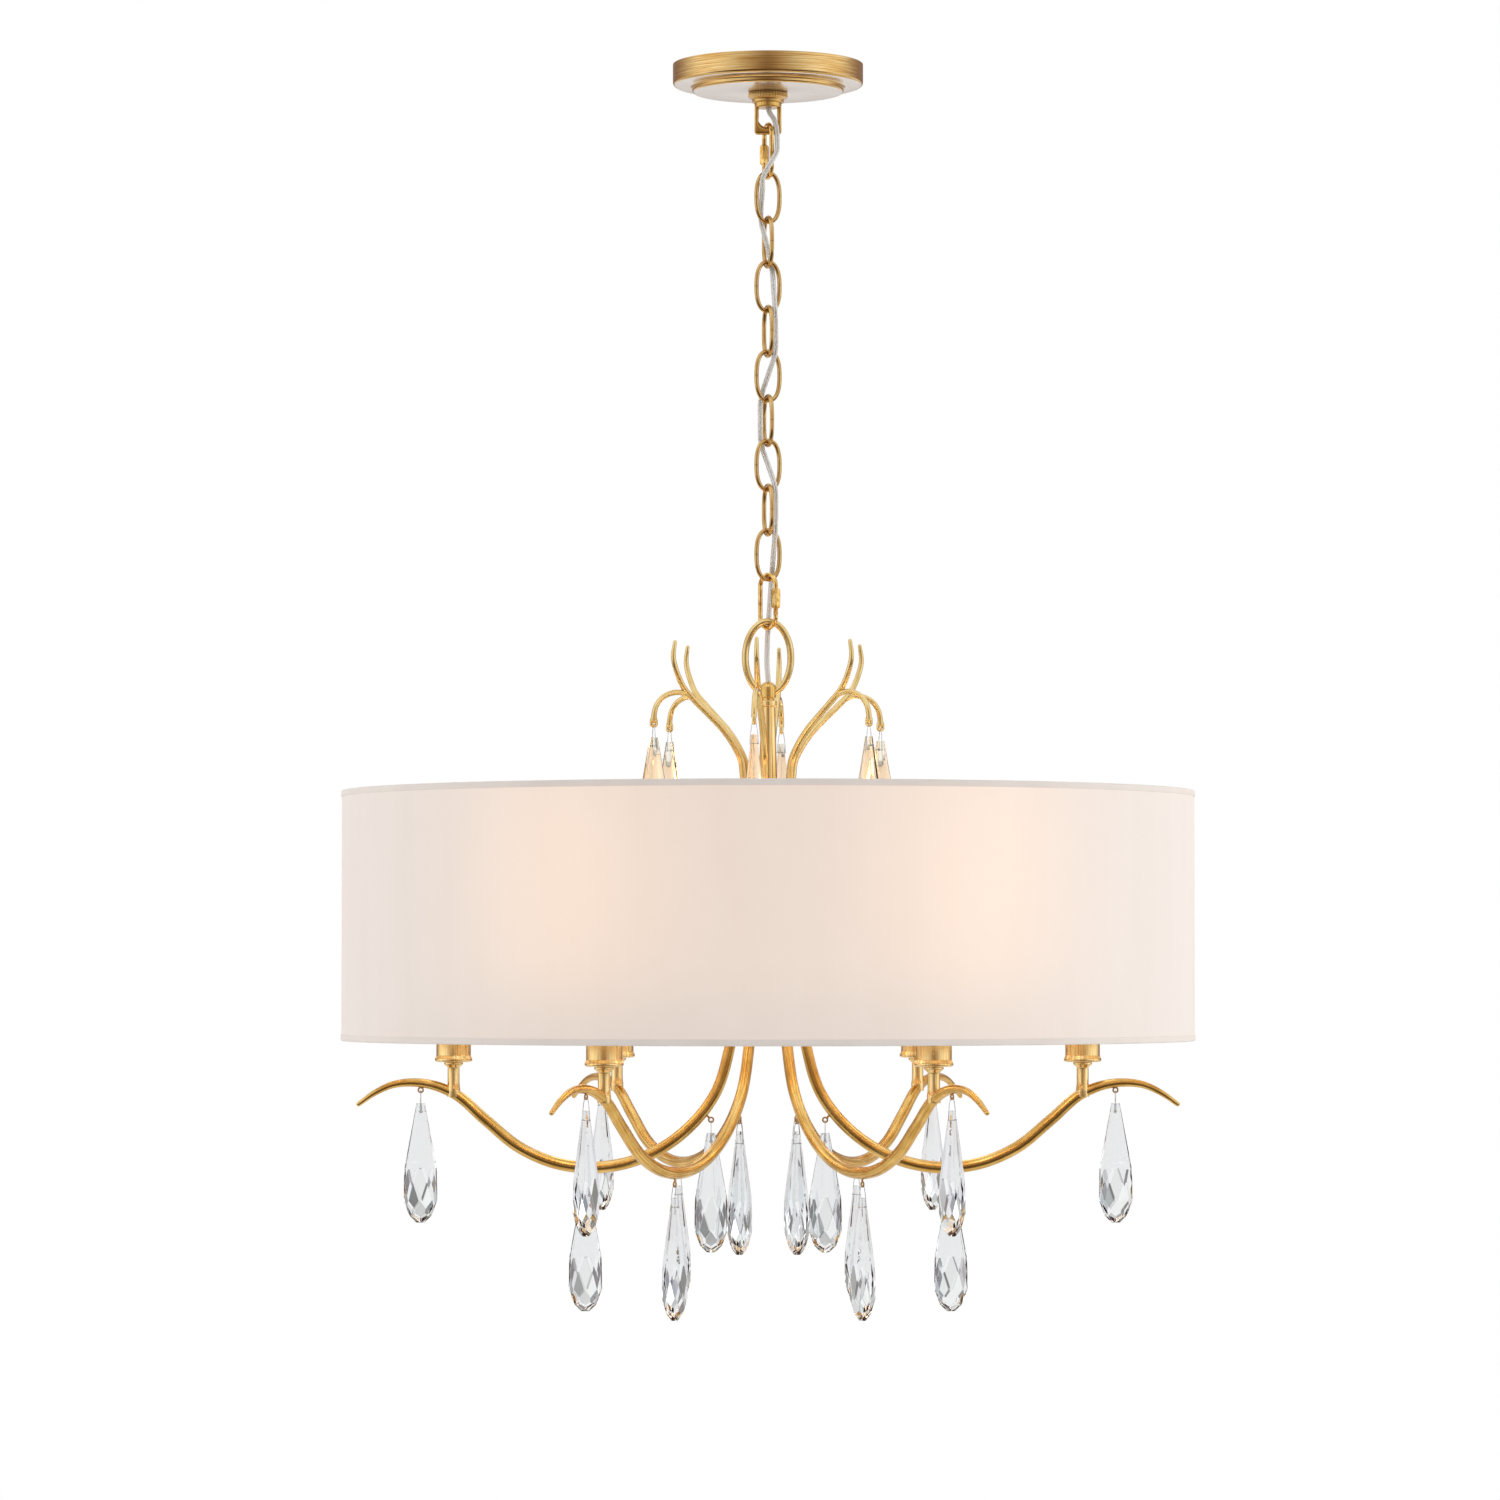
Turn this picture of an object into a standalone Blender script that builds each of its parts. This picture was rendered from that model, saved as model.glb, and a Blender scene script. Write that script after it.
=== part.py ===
"""Six-arm chandelier with a drum shade and faceted crystal drops, hung on a chain.

Metres, +Z up. The origin is on the ceiling, over the middle of the canopy.
"""

import math

import bmesh
import bpy
import numpy as np
from mathutils import Matrix, Vector

# Clearances and mesh fineness
seat_gap = 0.0003
thread_gap = 0.0003
skewed_seat_gap = 0.0007
overrun = 0.002
weld_distance = 0.000002
smooth_angle = math.radians(35)
half_side = math.pi / 8

# Canopy and the crossbar under it
canopy_radius = 0.074
canopy_height = 0.0167
canopy_step_radius = 0.059
canopy_step_height = 0.0052
canopy_wall = 0.0012
canopy_edge = 0.0016
crossbar_length = 0.100
crossbar_width = 0.018
crossbar_thickness = 0.0022
slot_reach = 0.035
slot_length = 0.014
slot_width = 0.0048

# Screw collar and the loop that it turns on
collar_radius = 0.0153
collar_flange_height = 0.0036
collar_height = 0.0078
collar_foot_radius = 0.0122
boss_radius = 0.0104
boss_wall_reach = 0.0008
boss_reveal = 0.0038
shank_radius = 0.005
lead_bore = 0.0054
loop_width = 0.0208
loop_thickness = 0.005
loop_leg = 0.0033
loop_drop = 0.0208
loop_bar = 0.0058
loop_rounding = 0.0016
loop_opening_shares = [(1.0, 0.6), (0.6, 0.12), (0.25, 0.0)]

# Chain and quick links
link_length = 0.0413
link_width = 0.022
link_wire = 0.0031
link_count = 9
chain_turn = math.radians(19)
quick_length = 0.0449
quick_width = 0.021
quick_wire = 0.0035
nut_length = 0.0152
nut_radius = 0.0037
nut_offset = 0.0168
nut_grip = 0.0029
nut_backing = 0.0075
lower_quick_turn = math.radians(-47)

# Hanging loop and stem
ring_width = 0.040
ring_height = 0.061
ring_wire = 0.005
cap_radius = 0.0062
cap_height = 0.0124
cap_lip = 0.0008
cap_dome_share = 0.45
cap_crown_share = 0.62
cap_crown_drop_share = 0.2
cap_spigot_radius = 0.0046
cap_spigot_length = 0.0095
neck_gap = 0.002
neck_radius = 0.00665
neck_height = 0.0045
stem_top_radius = 0.0055
stem_radius = 0.007
stem_taper = 0.055
stem_length = 0.1434
stem_thread_radius = 0.005
stem_nut_radius = 0.0095
stem_nut_height = 0.0065
thread_end = 0.003

# Shade and its frame
shade_radius = 0.330
shade_height = 0.1926
shade_wall = 0.0014
hem_height = 0.0085
hem_thickness = 0.0036
hem_proud = 0.0006
hem_rounding = 0.0012
spider_drop = 0.0742
spider_wire = 0.0032
washer_radius = 0.0135
washer_thickness = 0.002
spoke_turn = math.radians(53.5)
spoke_count = 3

# Hub
hub_radius = 0.031
hub_crown_radius = 0.0265
hub_height = 0.0487
hub_wall = 0.009
hub_cavity_radius = 0.0165
hub_edge = 0.003

# Arms: route from the socket in the hub out to the tip
arm_count = 6
arm_reach = 0.3167
arm_depth = 0.1667
arm_diameter = 0.0089
arm_socket_depth = 0.012
arm_route_shares = [
    (0.0758, 0.00),
    (0.0789, 0.21),
    (0.0944, 0.448),
    (0.1288, 0.656),
    (0.2033, 0.832),
    (0.3066, 0.954),
    (0.4282, 1.00),
    (0.5147, 0.981),
    (0.6044, 0.910),
    (0.6921, 0.776),
    (0.7660, 0.658),
    (0.8206, 0.617),
    (0.8626, 0.606),
    (0.9176, 0.617),
    (0.9618, 0.655),
    (1.0000, 0.706),
]
arm_thickness_shares = [
    0.85, 0.85, 0.88, 0.90, 0.95, 1.0, 1.0, 1.0, 1.0, 0.97, 0.90, 0.78, 0.70, 0.57, 0.46, 0.32,
]
arm_point_count = 20
post_circle_radius = 0.2433
post_radius = 0.0046
post_height = 0.0242
post_flange_radius = 0.0073
post_flange_height = 0.002
post_root_depth = 0.001
nipple_radius = 0.004
nipple_height = 0.009

# Candle cups
cup_height = 0.090
cup_radius = 0.01335
cup_foot_radius = 0.0144
cup_foot_height = 0.0035
cup_wall = 0.001
cup_floor = 0.0015

# Branches: route from the hub's top up to the tip of the twig, and the hook that leaves it
branch_turn = math.radians(23.5)
branch_reach = 0.0959
branch_rise = 0.190
branch_diameter = 0.005
branch_route_shares = [
    (0.2190, -0.020),
    (0.2185, 0.462),
    (0.2367, 0.5247),
    (0.2847, 0.5721),
    (0.3910, 0.6437),
    (0.5224, 0.7074),
    (0.6538, 0.7679),
    (0.7351, 0.8116),
    (0.7915, 0.8668),
    (0.8300, 0.9379),
    (0.8154, 1.0000),
]
branch_thickness_shares = [1.0, 1.0, 1.0, 0.98, 0.95, 0.92, 0.90, 0.86, 0.78, 0.68, 0.46]
hook_route_shares = [
    (0.6600, 0.7750),
    (0.7500, 0.7930),
    (0.8551, 0.7900),
    (0.9350, 0.7680),
    (0.9800, 0.7370),
    (0.9970, 0.7050),
    (1.0000, 0.6744),
]
hook_thickness_share = 0.82
branch_eye_share = 0.6647

# Eyelets and the crystals that hang in them
eyelet_radius = 0.00185
eyelet_wire = 0.0013
stub_diameter = 0.0015
eyelet_radius_shares = {"tip": 0.8494, "low": 0.4468, "inner": 0.1600}
eyelet_reaches = {"tip": 0.0022, "low": 0.0040, "inner": 0.0045}
bail_wire = 0.001
bail_drop = 0.0168
bail_half_width = 0.0033
bail_throat = 0.0018
bail_crown_share = 0.6
bail_shoulder_share = 0.6
bail_foot_share = 0.92
bail_foot_width_share = 0.6
crystal_length = 0.092
crystal_width = 0.027
crystal_thickness = 0.016
crystal_hole_depth = 0.007
crystal_ring_shares = [
    (0.00, 0.25, 0.38, 0.0),
    (0.36, 0.82, 0.86, 0.5),
    (0.65, 1.00, 1.00, 0.0),
    (0.84, 0.86, 0.86, 0.5),
    (0.96, 0.46, 0.48, 0.0),
]
crystal_sides = 6

# Power cord, laced through the chain: each point is across, behind and height
cord_diameter = 0.0032
cord_point_count = 62
cord_head = [
    (0.0000, 0.0000, -0.0040),
    (0.0000, 0.0000, -0.0180),
    (0.0000, 0.0000, -0.0320),
    (0.0012, -0.0009, -0.0374),
    (0.0046, -0.0036, -0.0430),
    (0.0063, -0.0053, -0.0490),
    (0.0069, -0.0063, -0.0550),
    (0.0072, -0.0075, -0.0620),
    (0.0067, -0.0098, -0.0690),
    (0.0033, -0.0125, -0.0760),
    (-0.0008, -0.0118, -0.0830),
    (-0.0040, -0.0078, -0.0900),
]
cord_in_chain = [
    (-0.0052, -0.0018, -0.0970),
    (-0.0048, 0.0006, -0.1034),
    (-0.0043, 0.0042, -0.1208),
    (0.0000, 0.0040, -0.1382),
    (0.0043, 0.0042, -0.1556),
    (0.0045, 0.0000, -0.1730),
    (0.0043, -0.0042, -0.1904),
    (0.0048, -0.0044, -0.2078),
    (0.0043, -0.0042, -0.2252),
    (0.0000, 0.0000, -0.2426),
    (-0.0043, 0.0042, -0.2600),
    (-0.0048, 0.0044, -0.2774),
    (-0.0043, 0.0042, -0.2948),
    (0.0000, 0.0000, -0.3122),
    (0.0043, -0.0042, -0.3296),
    (0.0048, -0.0044, -0.3470),
    (0.0044, -0.0042, -0.3644),
    (0.0046, 0.0010, -0.3830),
    (0.0045, 0.0044, -0.3990),
]
cord_foot = [
    (0.0015, 0.0058, -0.4180),
    (0.0003, 0.0058, -0.4360),
    (-0.0006, 0.0036, -0.4520),
    (-0.0008, 0.0010, -0.4680),
    (0.0000, 0.0000, -0.4790),
    (0.0000, 0.0000, -0.4900),
    (0.0000, 0.0000, -0.5200),
    (0.0000, 0.0000, -0.5600),
]

# Fineness of the round pieces
canopy_steps = 32
small_steps = 16
cup_steps = 16
hub_steps = 24
post_steps = 10
socket_sides = 10
shade_steps = 48
nut_sides = 6
bore_sides = 12
eyelet_sides = 8
eyelet_wire_sides = 4
branch_bevel_steps = 2
twig_bevel_steps = 1
steps_between_knots = 24
wire_bend_steps = 6
link_point_count = 16
link_fullness = 0.82
ring_point_count = 26

# Worked out from the sizes above. Heights run down from the ceiling
arm_root_radius = arm_reach * arm_route_shares[0][0]
canopy_depth = canopy_height + canopy_step_height
collar_top = -canopy_depth - seat_gap
collar_bottom = collar_top - collar_height
boss_top = -canopy_depth + canopy_wall + boss_wall_reach
boss_bottom = collar_bottom - boss_reveal
loop_bottom = boss_bottom - loop_drop
loop_bar_top = loop_bottom + loop_bar
loop_pivot = loop_bottom + loop_bar / 2
upper_quick_top = loop_bar_top + seat_gap + quick_wire / 2
upper_quick_bottom = upper_quick_top - (quick_length - quick_wire)
first_link_top = upper_quick_bottom + (quick_wire + link_wire) / 2 + seat_gap
link_span = link_length - link_wire
link_pitch = link_span - link_wire - seat_gap
last_link_bottom = first_link_top - (link_count - 1) * link_pitch - link_span
lower_quick_top = last_link_bottom + (link_wire + quick_wire) / 2 + seat_gap
lower_quick_bottom = lower_quick_top - (quick_length - quick_wire)
ring_top = lower_quick_bottom + (quick_wire + ring_wire) / 2 + skewed_seat_gap
ring_bottom = ring_top - (ring_height - ring_wire)
cap_bottom = ring_bottom - ring_wire / 2 - cap_lip
cap_top = cap_bottom + cap_height
stem_top = cap_bottom - neck_gap
stem_shoulder = stem_top - stem_length
washer_top = stem_shoulder - seat_gap
washer_middle = washer_top - washer_thickness / 2
hub_top = washer_top - washer_thickness - seat_gap
hub_bottom = hub_top - hub_height
stem_end = hub_bottom - seat_gap - stem_nut_height - thread_end
shade_top = washer_middle + spider_drop
shade_bottom = shade_top - shade_height


def clear_scene():
    for obj in list(bpy.data.objects):
        bpy.data.objects.remove(obj, do_unlink=True)


def new_collection(name):
    collection = bpy.data.collections.new(name)
    bpy.context.scene.collection.children.link(collection)
    return collection


def new_finish(name, colour, roughness, metallic):
    finish = bpy.data.materials.new(name)
    finish.use_nodes = True
    shader = finish.node_tree.nodes["Principled BSDF"]
    shader.inputs["Base Color"].default_value = (*colour, 1)
    shader.inputs["Roughness"].default_value = roughness
    shader.inputs["Metallic"].default_value = metallic
    return finish


def add_object(name, data, finish=None, collection=None):
    obj = bpy.data.objects.new(name, data)
    (collection or chandelier).objects.link(obj)
    if finish and not data.materials:
        data.materials.append(finish)
    return obj


def smooth(mesh):
    mesh.shade_smooth()
    mesh.set_sharp_from_angle(angle=smooth_angle)


def mesh_of(obj):
    """The object's evaluated shape as a new mesh with welded caps. The object is removed."""
    bpy.context.view_layer.update()
    graph = bpy.context.evaluated_depsgraph_get()
    mesh = bpy.data.meshes.new_from_object(obj.evaluated_get(graph))
    mesh.transform(obj.matrix_world)
    work = bmesh.new()
    work.from_mesh(mesh)
    bmesh.ops.remove_doubles(work, verts=work.verts, dist=weld_distance)
    bmesh.ops.recalc_face_normals(work, faces=work.faces)
    work.to_mesh(mesh)
    work.free()
    bpy.data.objects.remove(obj)
    return mesh


def piece(name, obj):
    """The object as a helper mesh in the cutters' collection, in place of the original."""
    mesh = mesh_of(obj)
    helper = bpy.data.objects.new(name + "_form", mesh)
    cutters.objects.link(helper)
    helper.hide_render = True
    helper.display_type = "WIRE"
    return helper


def combined(name, forms, holes=()):
    """One mesh: the first form joined with the others, then cut by the holes."""
    base = forms[0]
    for other, operation in [(f, "UNION") for f in forms[1:]] + [(h, "DIFFERENCE") for h in holes]:
        modifier = base.modifiers.new(operation, "BOOLEAN")
        modifier.operation = operation
        modifier.object = other
    mesh = mesh_of(base)
    mesh.name = name
    for helper in list(forms[1:]) + list(holes):
        bpy.data.objects.remove(helper)
    return mesh


def turned(name, profile, steps, finish, closed=True):
    """A solid of revolution about Z. The profile runs down its outer side, then back up inside."""
    mesh = bpy.data.meshes.new(name)
    points = [(radius, 0, height) for radius, height in profile]
    last = len(points) if closed else len(points) - 1
    mesh.from_pydata(points, [(i, (i + 1) % len(points)) for i in range(last)], [])
    obj = add_object(name, mesh, finish)
    screw = obj.modifiers.new("Turn", "SCREW")
    screw.steps = steps
    screw.render_steps = steps
    screw.use_merge_vertices = True
    screw.merge_threshold = weld_distance
    return obj


def cylinder(name, radius, low, high, sides, place=(0, 0), turn=0):
    """An upright helper cylinder between two heights, with a side's corner at the turn."""
    mesh = bpy.data.meshes.new(name)
    work = bmesh.new()
    bmesh.ops.create_cone(
        work, cap_ends=True, segments=sides, radius1=radius, radius2=radius, depth=high - low
    )
    bmesh.ops.rotate(work, verts=work.verts, matrix=Matrix.Rotation(turn, 3, "Z"))
    bmesh.ops.translate(work, verts=work.verts, vec=(*place, (low + high) / 2))
    work.to_mesh(mesh)
    work.free()
    obj = add_object(name, mesh, collection=cutters)
    obj.hide_render = True
    obj.display_type = "WIRE"
    return obj


def box(name, low, high):
    mesh = bpy.data.meshes.new(name)
    work = bmesh.new()
    bmesh.ops.create_cube(work, size=1)
    size = Vector(high) - Vector(low)
    bmesh.ops.scale(work, verts=work.verts, vec=size)
    bmesh.ops.translate(work, verts=work.verts, vec=Vector(low) + size / 2)
    work.to_mesh(mesh)
    work.free()
    obj = add_object(name, mesh, collection=cutters)
    obj.hide_render = True
    obj.display_type = "WIRE"
    return obj


def tube(name, points, diameters, finish, resolution=2, cyclic=False, tilt=0.0):
    """A round wire or tube along the points, with a diameter at each. The tilt turns its sides."""
    largest = max(diameters)
    curve = bpy.data.curves.new(name, "CURVE")
    curve.dimensions = "3D"
    spline = curve.splines.new("POLY")
    spline.points.add(len(points) - 1)
    for target, place, diameter in zip(spline.points, points, diameters):
        target.co = (*place, 1)
        target.radius = diameter / largest
        target.tilt = tilt
    spline.use_cyclic_u = cyclic
    curve.bevel_depth = largest / 2
    curve.bevel_resolution = resolution
    curve.use_fill_caps = not cyclic
    return add_object(name, curve, finish)


def smooth_route(knots, count):
    """Points at even spacing on one smooth curve through the knots, with any extra columns."""
    knots = np.array(knots, float)
    steps = np.linalg.norm(np.diff(knots[:, :3], axis=0), axis=1)
    at = np.concatenate([[0], np.cumsum(steps)])
    slopes = np.gradient(knots, at, axis=0)
    dense = []
    for i in range(len(knots) - 1):
        span = at[i + 1] - at[i]
        for t in np.linspace(0, 1, steps_between_knots, endpoint=False):
            dense.append(
                (2 * t**3 - 3 * t**2 + 1) * knots[i]
                + (t**3 - 2 * t**2 + t) * span * slopes[i]
                + (3 * t**2 - 2 * t**3) * knots[i + 1]
                + (t**3 - t**2) * span * slopes[i + 1]
            )
    dense = np.array(dense + [knots[-1]])
    run = np.concatenate([[0], np.cumsum(np.linalg.norm(np.diff(dense[:, :3], axis=0), axis=1))])
    places = np.linspace(0, run[-1], count)
    return np.stack([np.interp(places, run, column) for column in dense.T], axis=1)


def oval_bend(radius, middle, start, steps):
    """Half a turn of wire in the XZ plane about the middle height, from the start angle."""
    angles = [start + math.pi * step / steps for step in range(steps + 1)]
    return [(radius * math.cos(a), 0, middle + radius * math.sin(a)) for a in angles]


def oval_route(length, width, wire, top):
    """Wire centres round an oval link whose uppermost wire centre is at the top height."""
    across, up = (width - wire) / 2, (length - wire) / 2
    points = []
    for step in range(link_point_count):
        angle = 2 * math.pi * step / link_point_count
        c, s = math.cos(angle), math.sin(angle)
        x = across * math.copysign(abs(c) ** link_fullness, c)
        z = up * math.copysign(abs(s) ** link_fullness, s)
        points.append((x, 0, top - up + z))
    return points


def place(obj, x, y, z, turn=0.0):
    obj.location = (x, y, z)
    obj.rotation_euler = (0, 0, turn)


def around(radius, turn):
    return radius * math.cos(turn), radius * math.sin(turn)


def make_canopy():
    r, s, w, e = canopy_radius, canopy_step_radius, canopy_wall, canopy_edge
    hole = boss_radius + 2 * thread_gap
    profile = [
        (r, 0),
        (r, -canopy_height + e),
        (r - e, -canopy_height),
        (s, -canopy_height),
        (s, -canopy_depth + e),
        (s - e, -canopy_depth),
        (hole, -canopy_depth),
        (hole, -canopy_depth + w),
        (s - w, -canopy_depth + w),
        (s - w, -canopy_height + w),
        (r - w, -canopy_height + w),
        (r - w, 0),
    ]
    turned("canopy", profile, canopy_steps, gold)


def make_crossbar():
    bar = box(
        "crossbar",
        (-crossbar_length / 2, -crossbar_width / 2, -crossbar_thickness),
        (crossbar_length / 2, crossbar_width / 2, 0),
    )
    bore_radius = (shank_radius + thread_gap) / math.cos(math.pi / small_steps)
    holes = [cylinder("bore", bore_radius, -crossbar_thickness - overrun, overrun, small_steps)]
    for side in (-1, 1):
        middle = side * slot_reach
        holes.append(
            box(
                "slot",
                (middle - slot_length / 2, -slot_width / 2, -crossbar_thickness - overrun),
                (middle + slot_length / 2, slot_width / 2, overrun),
            )
        )
    add_object("crossbar", combined("crossbar", [bar], holes), steel)


def make_collar():
    bore = (boss_radius + thread_gap) / math.cos(math.pi / small_steps)
    flange = collar_top - collar_flange_height
    step = (collar_radius - collar_foot_radius) / 2
    profile = [
        (collar_radius, collar_top),
        (collar_radius, flange),
        (collar_radius - step, flange - step),
        (collar_foot_radius, flange - step),
        (collar_foot_radius, collar_bottom),
        (bore, collar_bottom),
        (bore, collar_top),
    ]
    turned("canopy_collar", profile, small_steps, gold)


def make_canopy_loop():
    """A stirrup under a round boss, on a hollow shank that screws into the crossbar."""
    half = loop_width / 2
    inner = half - loop_leg
    corner = loop_leg / 2
    outline = [
        (-half, boss_bottom + boss_reveal / 2),
        (-half, loop_bottom + corner),
        (-half + corner, loop_bottom),
        (half - corner, loop_bottom),
        (half, loop_bottom + corner),
        (half, boss_bottom + boss_reveal / 2),
    ]
    opening = [
        (-inner, boss_bottom),
        (inner, boss_bottom),
    ]
    opening += [(inner * across, loop_bar_top + inner * up) for across, up in loop_opening_shares]
    opening += [
        (-inner * across, loop_bar_top + inner * up) for across, up in reversed(loop_opening_shares)
    ]
    curve = bpy.data.curves.new("stirrup", "CURVE")
    curve.dimensions = "2D"
    curve.fill_mode = "BOTH"
    curve.extrude = loop_thickness / 2
    for points in (outline, opening):
        spline = curve.splines.new("POLY")
        spline.points.add(len(points) - 1)
        for target, (x, z) in zip(spline.points, points):
            target.co = (x, z, 0, 1)
        spline.use_cyclic_u = True
    stirrup = add_object("stirrup", curve)
    stirrup.rotation_euler = (math.pi / 2, 0, 0)
    stirrup = piece("stirrup", stirrup)
    edges = stirrup.modifiers.new("Round edges", "BEVEL")
    edges.width = loop_rounding
    edges.segments = 1
    edges.limit_method = "ANGLE"
    edges.angle_limit = math.radians(60)
    boss = cylinder("boss", boss_radius, boss_bottom, boss_top, small_steps)
    shank = cylinder("shank", shank_radius, boss_top - overrun, -seat_gap, small_steps)
    bore = cylinder("bore", lead_bore / 2, boss_bottom - overrun, overrun, small_steps // 2)
    mesh = combined("canopy_loop", [boss, stirrup, shank], [bore])
    smooth(mesh)
    add_object("canopy_loop", mesh, gold)


def make_quick_link(name, top, pivot, turn, nut_side_up):
    """An oval quick link and its sleeve nut, which slides off the gap when it is unscrewed."""
    radius = (quick_width - quick_wire) / 2
    reach = quick_length / 2 - quick_wire / 2 - radius
    far_end = quick_length / 2 - (nut_offset + nut_length - nut_grip)
    near_end = quick_length / 2 - (nut_offset + nut_backing)
    points = [(radius, 0, near_end)]
    points += oval_bend(radius, reach, 0, wire_bend_steps)
    points += oval_bend(radius, -reach, math.pi, wire_bend_steps)
    points += [(radius, 0, far_end)]
    flip = 1 if nut_side_up else -1
    middle = top + quick_wire / 2 - quick_length / 2 - pivot
    points = [(x, y, middle + flip * z) for x, y, z in points]
    link = tube(name, points, [quick_wire] * len(points), gold)
    place(link, 0, 0, pivot, turn)
    nut_middle = middle + flip * (quick_length / 2 - nut_offset - nut_length / 2)
    low, high = nut_middle - nut_length / 2, nut_middle + nut_length / 2
    sleeve = cylinder("sleeve", nut_radius, low, high, nut_sides, (radius, 0))
    bore_radius = (quick_wire / 2 + thread_gap) / math.cos(math.pi / bore_sides)
    bore = cylinder("bore", bore_radius, low - overrun, high + overrun, bore_sides, (radius, 0))
    mesh = combined(name + "_nut", [sleeve], [bore])
    nut = add_object(name + "_nut", mesh, gold)
    place(nut, 0, 0, pivot, turn)


def make_chain():
    pivot = upper_quick_bottom
    top = first_link_top
    for number in range(1, link_count + 1):
        route = oval_route(link_length, link_width, link_wire, top - pivot)
        link = tube(f"chain_link_{number}", route, [link_wire] * len(route), gold, cyclic=True)
        turn = chain_turn if number % 2 else chain_turn + math.pi / 2
        place(link, 0, 0, pivot, turn)
        pivot = top - link_span
        top -= link_pitch


def make_hanging_loop():
    """An oval ring whose lower end passes through the round cap at the head of the stem."""
    across, up = (ring_width - ring_wire) / 2, (ring_height - ring_wire) / 2
    middle = (ring_top + ring_bottom) / 2
    points = []
    for step in range(ring_point_count):
        angle = 2 * math.pi * step / ring_point_count + math.pi / 2
        points.append((across * math.cos(angle), 0, middle + up * math.sin(angle)))
    ring = piece("ring", tube("ring", points, [ring_wire] * len(points), None, cyclic=True))
    dome = cap_radius * cap_dome_share
    profile = [
        (0, cap_top),
        (cap_radius * cap_crown_share, cap_top - dome * cap_crown_drop_share),
        (cap_radius, cap_top - dome),
        (cap_radius, cap_bottom),
        (cap_spigot_radius, cap_bottom),
        (cap_spigot_radius, cap_bottom - cap_spigot_length),
        (0, cap_bottom - cap_spigot_length),
    ]
    cap = piece("cap", turned("cap", profile, small_steps, None, closed=False))
    bore = cylinder(
        "bore",
        lead_bore / 2,
        cap_bottom - cap_spigot_length - overrun,
        cap_top + overrun,
        small_steps // 2,
    )
    mesh = combined("hanging_loop", [cap, ring], [bore])
    smooth(mesh)
    add_object("hanging_loop", mesh, gold)


def make_stem():
    socket = (cap_spigot_radius + thread_gap) / math.cos(math.pi / small_steps)
    socket_end = cap_bottom - cap_spigot_length - seat_gap
    neck = stem_top - neck_height
    lead = lead_bore / 2
    profile = [
        (neck_radius, stem_top),
        (neck_radius, neck),
        (stem_top_radius, neck),
        (stem_radius, neck - stem_taper),
        (stem_radius, stem_shoulder),
        (stem_thread_radius, stem_shoulder),
        (stem_thread_radius, stem_end),
        (lead, stem_end),
        (lead, socket_end),
        (socket, socket_end),
        (socket, stem_top),
    ]
    turned("stem", profile, small_steps, gold)
    top = hub_bottom - seat_gap
    nut = cylinder("nut", stem_nut_radius, top - stem_nut_height, top, nut_sides)
    bore_radius = (stem_thread_radius + thread_gap) / math.cos(math.pi / small_steps)
    bore = cylinder("bore", bore_radius, top - stem_nut_height - overrun, top + overrun, small_steps)
    add_object("stem_nut", combined("stem_nut", [nut], [bore]), steel)


def make_shade():
    r, t, wall, e = shade_radius, hem_thickness, shade_wall, hem_rounding
    face = r - hem_proud
    high, low = shade_top - hem_height, shade_bottom + hem_height
    profile = [
        (r, shade_top - e),
        (face, high),
        (face, low),
        (r, shade_bottom + e),
        (r - e, shade_bottom),
        (r - t, shade_bottom),
        (r - t, low),
        (face - wall, low),
        (face - wall, high),
        (r - t, high),
        (r - t, shade_top),
        (r - e, shade_top),
    ]
    turned("shade_cover", profile, shade_steps, cloth)


def make_shade_frame():
    """A washer on the stem, three spokes and the wire ring inside the shade's top hem."""
    ring_radius = shade_radius - hem_thickness - seat_gap - spider_wire / 2
    ring_height_at = shade_top - hem_height / 2
    corners = [math.pi / 4 + math.pi / 2 * k for k in (0, 3, 2, 1)]
    section = spider_wire / 2 / math.cos(math.pi / 4)
    profile = [
        (ring_radius + section * math.cos(a), ring_height_at + section * math.sin(a))
        for a in corners
    ]
    ring = piece("ring", turned("ring", profile, shade_steps, None))
    washer = cylinder("washer", washer_radius, washer_top - washer_thickness, washer_top, small_steps)
    forms = [ring, washer]
    for number in range(spoke_count):
        turn = spoke_turn + 2 * math.pi * number / spoke_count
        inner = (*around(washer_radius - washer_thickness, turn), washer_middle + spider_wire / 2)
        outer = (*around(ring_radius, turn), ring_height_at)
        spoke = tube("spoke", [inner, outer], [spider_wire] * 2, None)
        forms.append(piece("spoke", spoke))
    bore_radius = (stem_thread_radius + thread_gap) / math.cos(math.pi / small_steps)
    bore = cylinder(
        "bore", bore_radius, washer_top - washer_thickness - overrun, washer_top + overrun,
        small_steps,
    )
    add_object("shade_frame", combined("shade_frame", forms, [bore]), steel)


def shared_route(shares, reach, depth, start):
    """Points in the XZ plane from shares of the reach and of the height, from the start height."""
    return [(r * reach, 0, start + h * depth) for r, h in shares]


def eyelet_ring(middle, turn):
    """An upright wire ring about the middle, in the XZ plane turned about Z."""
    bpy.ops.mesh.primitive_torus_add(
        major_segments=eyelet_sides,
        minor_segments=eyelet_wire_sides,
        major_radius=eyelet_radius,
        minor_radius=eyelet_wire / 2,
        location=middle,
        rotation=(math.pi / 2, 0, turn),
    )
    return piece("eyelet", bpy.context.object)


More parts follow.
